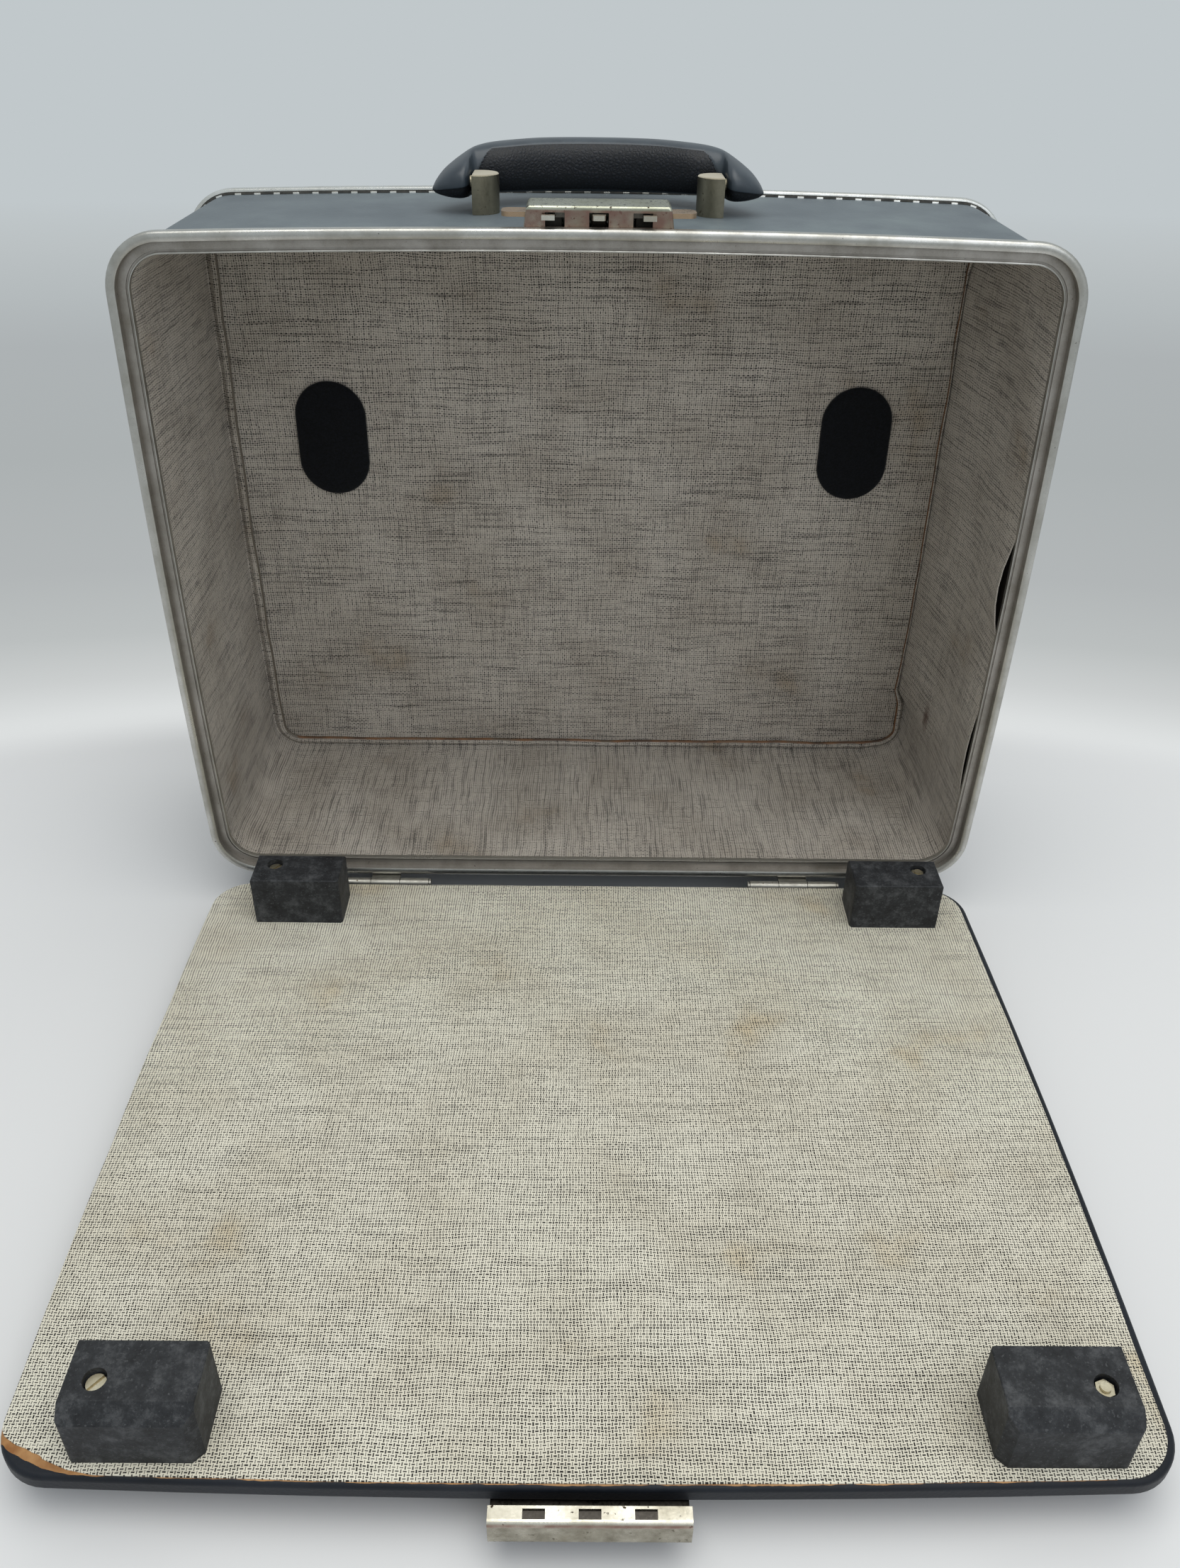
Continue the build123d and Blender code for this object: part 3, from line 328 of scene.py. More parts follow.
lid_leathercloth = leathercloth(
    "pvc_leathercloth_blue_grey", "#5f696f", "#748083", "#4e585f", 0.5, 0.45)
base_leathercloth = leathercloth(
    "pvc_leathercloth_black", "#191d24", "#272c33", "#12151a", 0.46, 0.25)

# %% [markdown]
# ## The frayed edge of the base
# The base's leathercloth is turned over the board's edge and glued under the cloth lining. Along the
# front a thin line of old brown glue shows, and at the front left corner the skin is worn through to
# the board. Both are painted by where a point is, so they need no separate piece: the distance from
# the front edge picks a narrow band, and noise breaks it up.

# %% Glue and wear on the base leathercloth
base_low, base_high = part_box("base_cover")
crown = 3.0 * mm
glue_from_edge, glue_half_width = 2.9 * mm, 0.95 * mm
glue_middle, glue_half_length = 5 * mm, 143 * mm
tree = base_leathercloth.node_tree
place, x, y, z = place_in(base_leathercloth)
wobble = add_node(tree, "TexNoise", {"Vector": place, "Scale": per_metre(8), "Detail": 5.0})
glue_colour = add_node(tree, "ValToRGB", {"Fac": wobble}, stops=[
    (0.38, "#94653a"), (0.6, "#b98d5d")])
# The front edge is a shallow arc, so y minus a share of x squared is the distance behind it.
x_squared = add_node(tree, "Math", {0: x, 1: 2.0}, operation="POWER")
from_front = add_node(tree, "Math", {0: x_squared, 1: -crown / base_high.x ** 2, 2: y},
                      operation="MULTIPLY_ADD")
wobbled = add_node(tree, "Math", {0: wobble, 1: 1.4 * mm, 2: from_front},
                   operation="MULTIPLY_ADD")
glue_line = add_node(tree, "Math", {
    0: wobbled, 1: base_low.y + glue_from_edge, 2: glue_half_width}, operation="COMPARE")
between_corners = add_node(tree, "Math", {0: x, 1: glue_middle, 2: glue_half_length},
                           operation="COMPARE")
lay_over(base_leathercloth, glue_colour, glue_line, between_corners)

# At the front left corner the lining has torn back in a curve, and the skin just outside it has
# gone too. The curve is part of a circle, and it reaches the side edge in one short place.
tear_centre = (base_low.x + 32 * mm, base_low.y + 52.3 * mm, 20 * mm)
tear_radius, tear_wobble = 50.3 * mm, 2.0 * mm
tear_back, tear_lowest = base_low.y + 24 * mm, 18.6 * mm
from_centre = add_node(tree, "VectorMath", {0: place, 1: tear_centre}, operation="DISTANCE")
worn_edge = add_node(tree, "Math", {0: wobble, 1: tear_wobble, 2: from_centre.outputs["Value"]},
                     operation="MULTIPLY_ADD").outputs[0]
lay_over(base_leathercloth, glue_colour, beyond(worn_edge, tear_radius, -1),
         beyond(y, tear_back, -1), beyond(z, tear_lowest))

# %% [markdown]
# ## The lining cloth
# Base and lid are lined with the same paper-backed cloth, printed and embossed as a coarse linen.
# Its yarns are about a millimetre apart. Where a weft yarn lies on top, a dark dash is printed, and
# where a warp yarn does, a tick, so dashes and ticks take turns like the squares of a chessboard. Real
# yarn is uneven, so noise stretched along the rows and the columns makes some threads dark and lets
# others fade, and a random number for each square thickens a few.
# The pattern reads a UV map that holds the cloth's own metres, so it runs round the lid's corners.

# %% Printed linen
yarn_mm = 1.04
weft_slub_mm, warp_slub_mm = 26, 20
age_mm = 45


def printed_linen(name, ground, ground_dark, thread, stain, streaks, faintest):
    """streaks darkens the slubbed rows and columns, faintest is the weight of the palest marks."""
    finish, tree, _ = new_finish(name, ground, 0.85, IOR=1.45, Sheen_Weight=0.1)
    metres = add_node(tree, "UVMap", uv_map="cloth_metres")
    place_mm = add_node(tree, "VectorMath", {0: metres, "Scale": 1 / mm}, operation="SCALE")
    drift = add_node(tree, "TexNoise", {"Vector": place_mm, "Scale": 0.05})
    drift_mm = add_node(tree, "VectorMath", {0: drift.outputs["Color"], "Scale": 2.5},
                        operation="SCALE")
    cloth_mm = add_node(tree, "VectorMath", {0: place_mm, 1: drift_mm})
    yarns = add_node(tree, "VectorMath", {0: cloth_mm, "Scale": 1 / yarn_mm}, operation="SCALE")
    square = add_node(tree, "VectorMath", {0: yarns}, operation="FLOOR")
    across, up, _ = add_node(tree, "SeparateXYZ", {0: yarns}).outputs
    column, row, _ = add_node(tree, "SeparateXYZ", {0: square}).outputs
    number_sum = add_node(tree, "Math", {0: column, 1: row})
    warp_on_top = add_node(tree, "Math", {0: number_sum, 1: 1.0}, operation="PINGPONG")
    weft_on_top = add_node(tree, "Math", {0: 1.0, 1: warp_on_top}, operation="SUBTRACT")
    from_column = add_node(tree, "Math", {0: across, 1: 0.5}, operation="PINGPONG")
    from_row = add_node(tree, "Math", {0: up, 1: 0.5}, operation="PINGPONG")
    chance = add_node(tree, "TexWhiteNoise", {"Vector": square}).outputs["Value"]
    row_place = add_node(tree, "Mapping", {
        "Vector": cloth_mm, "Scale": (1 / weft_slub_mm, 1 / yarn_mm, 1)})
    row_yarn = add_node(tree, "TexNoise", {"Vector": row_place, "Scale": 0.9})
    column_place = add_node(tree, "Mapping", {
        "Vector": cloth_mm, "Scale": (1 / yarn_mm, 1 / warp_slub_mm, 1), "Location": (7, 3, 0)})
    column_yarn = add_node(tree, "TexNoise", {"Vector": column_place, "Scale": 0.9})
    # A thick yarn or a lucky square moves the mark's edge outwards, so the mark is wider.
    row_edge = add_node(tree, "Math", {0: row_yarn, 1: 0.35, 2: from_row},
                        operation="MULTIPLY_ADD")
    dash_line = add_node(tree, "MapRange", {"Value": row_edge, "From Min": 0.44, "From Max": 0.54})
    dash_reach = add_node(tree, "MapRange", {
        "Value": from_column, "From Min": 0.0, "From Max": 0.08})
    chance_edge = add_node(tree, "Math", {0: chance, 1: 0.16, 2: from_column},
                           operation="MULTIPLY_ADD")
    tick_line = add_node(tree, "MapRange", {
        "Value": chance_edge, "From Min": 0.37, "From Max": 0.47})
    row_weight = add_node(tree, "MapRange", {
        "Value": row_yarn, "From Min": 0.4, "From Max": 0.56, "To Min": faintest})
    column_weight = add_node(tree, "MapRange", {
        "Value": column_yarn, "From Min": 0.34, "From Max": 0.56, "To Min": faintest})
    dash, tick = weft_on_top, warp_on_top
    for factor in (dash_line, dash_reach, row_weight):
        dash = add_node(tree, "Math", {0: dash, 1: factor}, operation="MULTIPLY")
    for factor in (tick_line, column_weight):
        tick = add_node(tree, "Math", {0: tick, 1: factor}, operation="MULTIPLY")
    heavy_row, heavy_column = (add_node(tree, "MapRange", {
        "Value": yarn, "From Min": 0.54, "From Max": 0.74, "To Max": darkest})
        for yarn, darkest in ((row_yarn, streaks), (column_yarn, streaks / 2)))
    slub = add_node(tree, "Math", {0: heavy_row, 1: heavy_column})
    dark = add_node(tree, "Math", {0: tick, 1: dash}, operation="MAXIMUM")
    dark_all = add_node(tree, "Math", {0: dark, 1: slub}, operation="MAXIMUM")
    # Ageing is a noise of the cloth's millimetres, so its scale isn't per metre here.
    age = add_node(tree, "TexNoise", {"Vector": place_mm, "Scale": 1 / age_mm, "Detail": 5.0})
    aged = add_node(tree, "ValToRGB", {"Fac": age}, stops=[
        (0.4, ground), (0.62, ground_dark), (0.8, stain)])
    relief = add_node(tree, "Bump", {
        "Height": dark_all, "Strength": 0.5, "Distance": 0.15 * mm}, invert=True)
    feed(finish, Base_Color=aged, Normal=relief)
    lay_over(finish, thread, dark_all)
    return finish


base_linen = printed_linen(
    "linen_printed_base", "#eeebda", "#e2ddca", "#262420", "#d3c19c", 0.2, 0.82)
# The lid's lining is the same cloth painted darker and more heavily marked, as painted shade inside the
# deep lid.
shaded_lid_linen = printed_linen(
    "linen_printed_lid_painted_shade", "#c6bfb4", "#b5ada1", "#211f1e", "#9a876b", 0.5, 0.52)

# %% [markdown]
# ## Stains and old glue
# The rust of a screw has come through the cloth of the lid's right wall. It is put there by place, as a
# blurred upright oval: the distance from its middle is taken after the axes are scaled by its half
# sizes, so the oval's edge is at one. The glue that shows along the lining's cut edges is brown, and on
# the left the cut edge is painted dark grey as painted shade.

# %% Rust stain, and glue and painted shade along the seams
rust_middle = Vector((168, 156, 66)) * mm
rust_half_size = Vector((6, 3.2, 6.5)) * mm
tree = shaded_lid_linen.node_tree
place = place_in(shaded_lid_linen)[0]
from_rust = add_node(tree, "VectorMath", {0: place, 1: rust_middle}, operation="SUBTRACT")
in_half_sizes = add_node(tree, "VectorMath", {0: from_rust, 1: rust_half_size},
                         operation="DIVIDE")
rust_distance = add_node(tree, "VectorMath", {0: in_half_sizes}, operation="LENGTH")
rust_edge = add_node(tree, "TexNoise", {"Vector": place, "Scale": per_metre(3), "Detail": 4.0})
rust_ragged = add_node(tree, "Math", {0: rust_edge, 1: rust_distance.outputs["Value"]})
rust_share = add_node(tree, "MapRange", {
    "Value": rust_ragged, "From Min": 1.9, "From Max": 0.9, "To Max": 0.85})
lay_over(shaded_lid_linen, "#4a2b1c", rust_share)

seam_glue_and_shade, tree, place = new_finish("bone_glue_aged_and_painted_shade", "#7b4a28", 0.55)
cloud(seam_glue_and_shade, place, 14, [(0.35, "#4a3626"), (0.5, "#75502f"), (0.65, "#5a4c3c")], 3.0)
# On the left the glue is hidden, and the turn-in's edge is painted dark grey as painted shade.
lay_over(seam_glue_and_shade, "#675f54", beyond(place_in(seam_glue_and_shade)[1], -155 * mm, -1))

# %% [markdown]
# ## Metals
# The rim is extruded aluminium, drawn through a die that leaves hair lines along its length, and gone
# a little chalky. Lock, catch and posts are nickel on steel: yellower than chrome, clouded, and
# pitted with rust where the plate is thin. One function makes a metal with streaks, clouding and
# pits, because those are what tell the metals apart besides their colour.

# %% Metal finishes
def worn_metal(name, clean, dull, pit, roughness, pit_from, streak=(1, 1, 1), streak_mm=0.5):
    """streak stretches the fine noise along each axis, and pit_from is the noise where pits start."""
    finish, tree, place = new_finish(name, clean, roughness, Metallic=1.0)
    stretched = add_node(tree, "Mapping", {"Vector": place, "Scale": streak})
    lines = add_node(tree, "TexNoise", {
        "Vector": stretched, "Scale": per_metre(streak_mm), "Detail": 3.0})
    clouds = cloud(finish, place, 14, [(0.38, clean), (0.68, dull)], 6.0, 0.65)
    spots = add_node(tree, "TexNoise", {"Vector": place, "Scale": per_metre(1.6), "Detail": 4.0})
    lay_over(finish, pit, add_node(tree, "ValToRGB", {"Fac": spots}, stops=[
        (pit_from, 0.0), (pit_from + 0.05, 1.0)]))
    haze = add_node(tree, "Math", {0: lines, 1: clouds})
    rough = add_node(tree, "MapRange", {
        "Value": haze, "From Min": 0.7, "From Max": 1.3,
        "To Min": roughness - 0.1, "To Max": roughness + 0.15})
    relief = add_node(tree, "Bump", {"Height": lines, "Strength": 0.25, "Distance": 0.05 * mm})
    feed(finish, Roughness=rough, Normal=relief)
    return finish


aluminium = worn_metal("aluminium_extruded_satin", "#c6c5c0", "#a9a7a0", "#6d6a64", 0.34, 0.72)
# The binding's bead and tabs are the same aluminium painted whiter, as a painted highlight.
highlit_aluminium = worn_metal(
    "aluminium_extruded_painted_highlight", "#e6e6e2", "#c9c8c2", "#6d6a64", 0.28, 0.74)
# The rim's recess is darker and beiger than the bead: partly tarnish, partly painted shade cast by the
# bead.
tarnished_and_shaded_aluminium = worn_metal(
    "aluminium_extruded_tarnished_and_painted_shade", "#aea9a3", "#97928a", "#57514a", 0.5, 0.7)
fastener_nickel = worn_metal(
    "nickel_plated_fasteners", "#d8cfb6", "#b0a68c", "#5a4b35", 0.35, 0.7)
oiled_steel = worn_metal("steel_oiled_black", "#3f3c38", "#2c2a27", "#1a1817", 0.5, 0.7)
hinge_steel = worn_metal("zinc_plated_hinge_steel", "#b3b1a9", "#8b8880", "#5b5043", 0.4, 0.68)
spring_wire = worn_metal("bright_spring_wire", "#c2c0b8", "#8f8c84", "#5b5043", 0.3, 0.72)
nickel = worn_metal("nickel_plated_steel", "#d6d1c4", "#b0aa9b", "#4d4336", 0.3, 0.66)

# The lock's tongue is bright only on its lip. Below the lip, inside the lock, it is painted dark as
# painted shade.
tongue_nickel = worn_metal("nickel_plated_tongue", "#d6d1c4", "#b0aa9b", "#4d4336", 0.3, 0.66)
tongue_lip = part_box("lock_tongue")[1].z - 1.7 * mm
lay_over(tongue_nickel, "#2f2a25", beyond(place_in(tongue_nickel)[3], tongue_lip, -1))

# The posts' ends are rough and painted pale, as painted light on their tops, so they look pale
# against the shiny sides.
post_nickel = worn_metal("nickel_plated_turned_post", "#918c7a", "#6d685a", "#4a4234", 0.36, 0.67,
                         streak=(3, 3, 0.3))
lit_end = beyond(place_in(post_nickel)[3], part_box("post_left")[1].z - 0.3 * mm)
lay_over(post_nickel, "#cdc7b8", lit_end)
tree = post_nickel.node_tree
side_roughness = tree.nodes["Principled BSDF"].inputs["Roughness"].links[0].from_socket
feed(post_nickel, Roughness=add_node(tree, "Math", {0: lit_end, 1: side_roughness},
                                     operation="MAXIMUM"))

# %% [markdown]
# Nickel goes on over copper, and where hands and the catch rub it away the copper shows pink. On the
# lock that is its whole front face, and on the catch a line along the bend. Both are picked by
# place: a band between two heights, in front of a given depth.

# %% Nickel worn to its copper
copper_blur = 0.25 * mm


def copper_worn_nickel(name, clean, dull, in_front_of, lowest, highest, pit_from):
    finish = worn_metal(name, clean, dull, "#382e25", 0.3, pit_from, streak_mm=0.8)
    place, _, y, z = place_in(finish)
    patchy = add_node(finish.node_tree, "TexNoise", {
        "Vector": place, "Scale": per_metre(5), "Detail": 5.0})
    patches = add_node(finish.node_tree, "MapRange", {
        "Value": patchy, "From Min": 0.3, "From Max": 0.6, "To Min": 0.55, "To Max": 0.95})
    lay_over(finish, "#886a60", beyond(y, in_front_of, -1, copper_blur),
             beyond(z, lowest, 1, copper_blur), beyond(z, highest, -1, copper_blur), patches)
    return finish


lock_low, lock_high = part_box("lock_housing")
lock_nickel = copper_worn_nickel(
    "nickel_plated_lock_case", "#bfc0b0", "#92937f", lock_low.y + 0.5 * mm,
    lock_low.z + 1.8 * mm, lock_high.z - 1.3 * mm, 0.61)
catch_low, catch_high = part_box("catch_plate")
catch_bend = catch_high.z - 2.0 * mm
catch_nickel = copper_worn_nickel(
    "nickel_plated_catch", "#e2ddcf", "#b5ae9c", catch_low.y + 1.2 * mm,
    catch_bend, catch_high.z - 0.7 * mm, 0.66)
# Below the bend the catch's front is laid over with a darker grey in blotches, and its inside, seen
# through the three windows, is painted dark as painted shade.
place, x, y, z = place_in(catch_nickel)
front_blotches = add_node(catch_nickel.node_tree, "TexNoise", {
    "Vector": place, "Scale": per_metre(4), "Detail": 6.0})
front_darkening = add_node(catch_nickel.node_tree, "MapRange", {
    "Value": front_blotches, "From Min": 0.3, "From Max": 0.7, "To Min": 0.45, "To Max": 0.95})
lay_over(catch_nickel, "#7d7767", beyond(z, catch_bend, -1), front_darkening)
lay_over(catch_nickel, "#4f4b46", beyond(z, catch_high.z - 1.0 * mm, -1),
         beyond(y, catch_low.y + 0.9 * mm))

# %% [markdown]
# The sliders are nickel too, but thumbs have polished their tabs down to the brass. Inside the lock
# they are painted dark as painted shade, except the hooks that stand out of its face.

# %% Sliders
slider_metal = worn_metal(
    "nickel_plated_brass_slider", "#d9d5ca", "#b3ada0", "#5b4a2e", 0.3, 0.68)
tab_from, shaded_inside_to = 23.5 * mm, 22.5 * mm
place, x, y, z = place_in(slider_metal)
from_middle = add_node(slider_metal.node_tree, "Math", {0: x}, operation="ABSOLUTE").outputs[0]
lay_over(slider_metal, "#b39a80", beyond(from_middle, tab_from, 1, 1.0 * mm))
lay_over(slider_metal, "#4a453f", beyond(y, lock_low.y - 1.7 * mm),
         beyond(from_middle, shaded_inside_to, -1, 0.5 * mm, most=0.9))

# %% [markdown]
# ## Rubber, felt and moulded vinyl
# The corner blocks are moulded from reclaimed rubber, which is why they are mottled and dusted with
# pale scuffs.

# %% Rubber
def moulded_rubber(name, body, dust, dark, roughness):
    finish, tree, place = new_finish(name, body, roughness, IOR=1.52, Specular_IOR_Level=0.35)
    cloud(finish, place, 7, [(0.36, dark), (0.5, body), (0.68, dust)], 9.0, 0.78)
    grit = add_node(tree, "TexNoise", {"Vector": place, "Scale": per_metre(0.9), "Detail": 3.0})
    lay_over(finish, dust, add_node(tree, "ValToRGB", {"Fac": grit}, stops=[
        (0.6, 0.0), (0.74, 0.8)]))
    relief = add_node(tree, "Bump", {"Height": grit, "Strength": 0.4, "Distance": 0.15 * mm})
    feed(finish, Normal=relief)
    return finish


block_rubber = moulded_rubber("rubber_reclaimed_mottled", "#26282b", "#515355", "#111215", 0.6)
foot_rubber = moulded_rubber("rubber_moulded_black", "#232426", "#3c3d3d", "#18191a", 0.6)

# %% [markdown]
# The pads are pressed wool felt: almost no gloss, with a faint fuzz that sheen gives.

# %% Felt
felt, tree, place = new_finish("wool_felt_black", "#07090c", 0.95, Sheen_Weight=0.15,
                               Sheen_Roughness=0.5, Specular_IOR_Level=0.2)
fuzz = cloud(felt, place, 0.8, [(0.35, "#050709"), (0.7, "#101319")], 6.0)
fuzz_relief = add_node(tree, "Bump", {"Height": fuzz, "Strength": 0.6, "Distance": 0.3 * mm})
feed(felt, Normal=fuzz_relief)

# %% [markdown]
# The handle is moulded vinyl, smooth outside and leather-grained where the fingers go. The grain is
# a little coarser than the real one, so that it shows. The grained side is painted nearly black as
# painted shade, since it faces the camera in shadow, and darker still in its creases as painted shade.

# %% Moulded vinyl for the handle
leather_grain_mm = 1.3
smooth_vinyl, tree, place = new_finish("vinyl_moulded_smooth", "#3b444d", 0.36, IOR=1.53)
rub = cloud(smooth_vinyl, place, 12, [(0.35, "#28313a"), (0.7, "#3d474f")], 6.0)
rub_rough = add_node(tree, "MapRange", {"Value": rub, "To Min": 0.28, "To Max": 0.5})
skin = add_node(tree, "TexNoise", {"Vector": place, "Scale": per_metre(0.5), "Detail": 2.0})
skin_relief = add_node(tree, "Bump", {"Height": skin, "Strength": 0.15, "Distance": 0.05 * mm})
feed(smooth_vinyl, Roughness=rub_rough, Normal=skin_relief)

shaded_grained_vinyl, tree, place = new_finish(
    "vinyl_moulded_leather_grain_painted_shade", "#13161c", 0.5, IOR=1.53, Specular_IOR_Level=0.35)
creases = add_node(tree, "TexVoronoi", {"Vector": place, "Scale": per_metre(leather_grain_mm)},
                   feature="DISTANCE_TO_EDGE").outputs["Distance"]
crease_shade_colour = add_node(tree, "ValToRGB", {"Fac": creases}, stops=[
    (0.0, "#07090e"), (0.3, "#12171f")])
crease_relief = add_node(tree, "Bump", {"Height": creases, "Strength": 0.7, "Distance": 0.4 * mm})
feed(shaded_grained_vinyl, Base_Color=crease_shade_colour, Normal=crease_relief)

# %% [markdown]
# ## Finishes on the CAD parts
# Parts whose CAD shape is already right keep it and get their finish by material slot.

# %% Dress the CAD parts
finish_of_slot = {
    "board": hardboard,
    "base_vinyl": base_leathercloth,
    "base_cloth": base_linen,
    "block_rubber": block_rubber,
    "fastener_steel": fastener_nickel,
    "foot_rubber": foot_rubber,
    "nickel_plate": nickel,
    "hinge_steel": hinge_steel,
    "rim_aluminium": aluminium,
    "lid_vinyl": lid_leathercloth,
    "lid_cloth": shaded_lid_linen,
    "felt": felt,
    "spring_steel": spring_wire,
    "slider_brass": slider_metal,
    "handle_plastic": smooth_vinyl,
}
special_finish = {
    "post_left": post_nickel,
    "post_right": post_nickel,
    "lock_housing": lock_nickel,
    "lock_tongue": tongue_nickel,
    "lock_base_plate": oiled_steel,
    "catch_plate": catch_nickel,
    "lid_side_frame": shade_dark_board,
}
for part in frame["record"]["subparts"]:
    node = frame["nodes"][part["node"]]
    finish = special_finish.get(part["node"], finish_of_slot[part["material_slot"]])
    for material_slot in node.material_slots:
        material_slot.material = finish
print(len(frame["nodes"]), "CAD parts dressed")

# %% [markdown]
# ## The case's outline
# Seen from above, the case is a rounded oblong: its back edge is straight, its front and sides swell
# by a few millimetres. Rim, binding and linings all follow this one line, some distance inside or
# outside it. So the outline is kept as stations, each a point and the direction straight outwards.
# Moving every point along its direction gives the same outline inset, with its corners right.

# %% Stations round the outline
lid_width, lid_height, corner_radius = 344.0, 273.0, 18.0
front_crown, side_crown = 3.0, 2.0


def arc_radius(chord, rise):
    """The radius of a shallow arc from its chord and its rise."""
    return ((chord / 2) ** 2 + rise ** 2) / (2 * rise)


crown_radius = arc_radius(lid_width, front_crown)
flank_radius = arc_radius(lid_height, side_crown)
crown_centre = Vector((0, lid_height / 2 - crown_radius))
flank_centre = Vector((lid_width / 2 - flank_radius, 0))


def arc_stations(centre, radius, start, end, spacing):
    """Points and outward directions along an arc, from angle start to angle end."""
    count = max(2, math.ceil(abs(end - start) * radius / spacing))
    angles = [start + (end - start) * i / count for i in range(count + 1)]
    directions = [Vector((math.cos(a), math.sin(a))) for a in angles]
    return [(centre + radius * outward, outward) for outward in directions]


def half_outline():
    """Stations on the +x side, from the middle of the straight edge to the middle of the crown."""
    x = lid_width / 2 - corner_radius
    y = lid_height / 2 - corner_radius
    for _ in range(20):
        y = crown_centre.y + math.sqrt((crown_radius - corner_radius) ** 2 - x ** 2)
        x = flank_centre.x + math.sqrt((flank_radius - corner_radius) ** 2 - y ** 2)
    front_corner = Vector((x, y))
    rear_y = corner_radius - lid_height / 2
    rear_x = flank_centre.x + math.sqrt((flank_radius - corner_radius) ** 2 - rear_y ** 2)
    rear_corner = Vector((rear_x, rear_y))
    flank_start = math.atan2(rear_y, rear_x - flank_centre.x)
    flank_end = math.atan2(y, x - flank_centre.x)
    crown_start = math.atan2(y - crown_centre.y, x)
    coarse, fine = 8.0, 2.2
    steps = math.ceil(rear_x / coarse)
    rear_edge = [(Vector((rear_x * i / steps, -lid_height / 2)), Vector((0, -1)))
                 for i in range(steps)]
    runs = [
        rear_edge,
        arc_stations(rear_corner, corner_radius, -math.pi / 2, flank_start, fine),
        arc_stations(flank_centre, flank_radius, flank_start, flank_end, coarse)[1:],
        arc_stations(front_corner, corner_radius, flank_end, crown_start, fine)[1:],
        arc_stations(crown_centre, crown_radius, crown_start, math.pi / 2, coarse)[1:],
    ]
    return [station for run in runs for station in run]


right_half = half_outline()
left_half = [(Vector((-p.x, p.y)), Vector((-n.x, n.y))) for p, n in reversed(right_half[1:-1])]
outline = right_half + left_half


def station_distances(inset=0.0):
    """How far round the inset outline each station is, with the whole way round at the end."""
    points = [p - n * inset for p, n in outline]
    total = [0.0]
    for here, there in zip(points, points[1:] + points[:1]):
        total.append(total[-1] + (there - here).length)
    return total


outline_length = station_distances()[-1]
print(len(outline), "stations,", round(outline_length), "mm round")

# %% [markdown]
# ## Helpers for meshes
# A swept strip and a skin between rings are both a grid of points with faces between neighbours. One
# function joins such a grid and another also closes its ends. A third turns points and faces into a
# finished piece that rides on its CAD body, carries its finishes, and hides the CAD parts that it
# replaces.

# %% Mesh helpers
rim_y, lid_middle = 89.15, 157.2
base_middle, lining_level = -56.15, 20.5


def on_lid(x, y, depth):
    """A point of the outline's plane, at that depth behind the lid's rim."""
    return Vector((x, rim_y + depth, lid_middle + y)) * mm


def on_base(x, y, height):
    """A point of the outline's plane on the base, whose crowned edge faces the user."""
    return Vector((x, base_middle - y, height)) * mm


def grid_faces(rows, columns, close_rows=False):
    """Faces between neighbours in a grid of points, stored as rows that are closed rings."""
    faces = []
    for row in range(rows if close_rows else rows - 1):
        for column in range(columns):
            next_row = (row + 1) % rows
            next_column = (column + 1) % columns
            faces.append((row * columns + column, row * columns + next_column,
                          next_row * columns + next_column, next_row * columns + column))
    return faces


def capped_faces(rows, columns):
    """The faces of an open row of rings, with one more face over each end."""
    last_ring = (rows - 1) * columns
    ends = [tuple(range(columns)), tuple(range(last_ring, last_ring + columns))]
    return grid_faces(rows, columns) + ends


def add_piece(name, points, faces, finishes, body, replaced=(), sharp=35.0,
              face_finish=None, cloth_metres=None):
    """A finished piece. face_finish gives each face's material, cloth_metres each point's UV."""
    mesh = bpy.data.meshes.new(name)
    mesh.from_pydata(points, [], faces)
    for finish in finishes:
        mesh.materials.append(finish)
    if face_finish:
        mesh.polygons.foreach_set("material_index", face_finish)
    if cloth_metres:
        layer = mesh.uv_layers.new(name="cloth_metres")
        for loop in mesh.loops:
            layer.data[loop.index].uv = cloth_metres[loop.vertex_index]
    tidy = bmesh.new()
    tidy.from_mesh(mesh)
    bmesh.ops.recalc_face_normals(tidy, faces=tidy.faces)
    tidy.to_mesh(mesh)
    tidy.free()
    mesh.shade_smooth()
    mesh.set_sharp_from_angle(angle=math.radians(sharp))
    piece = bpy.data.objects.new(name, mesh)
    scene.collection.objects.link(piece)
    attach(piece, body)
    if replaced:
        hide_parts(*replaced)
    return piece


def moved_in(p, n, inset):
    return p - n * inset


def sweep_profile(profile, stations=outline, moved=moved_in):
    """Points of a closed profile of (inset, depth) carried along the lid's stations, row by row."""
    return [on_lid(*moved(p, n, inset), depth) for p, n in stations for inset, depth in profile]


def drift_at(p, length, layer):
    """A smooth random number about zero at a station. Every layer has a pattern of its own."""
    return noise.noise(Vector((p.x / length, p.y / length, layer)))

# %% [markdown]
# ## The lid's rim
# The rim is one aluminium extrusion bent round the lid's mouth. In section it has a rounded bead that
# stands proud outside, a sunken face, and a thin lip that clips over the lining, with a fine groove
# beside the lip. The groove catches the dark, and that is what makes it read as an extrusion, so the
# section is drawn in full and swept round the outline.

# %% Sweep the rim
rim_profile = [
    (-1.5, 0.0), (-2.5, 0.12), (-3.1, 0.4), (-3.45, 1.0), (-3.5, 1.6), (-3.5, 3.9), (-3.3, 4.5),
    (-2.7, 4.8), (0.0, 4.8), (0.0, 4.1), (4.1, 4.1), (4.1, 5.0), (4.4, 5.0),
    (4.4, 3.1), (4.3, 2.85), (4.0, 2.8), (3.75, 2.95), (3.7, 3.85),
    (3.0, 3.85), (2.95, 3.4), (0.3, 3.35), (0.03, 3.4), (0.0, 0.75),
    (-0.1, 0.5), (-0.35, 0.38),
]
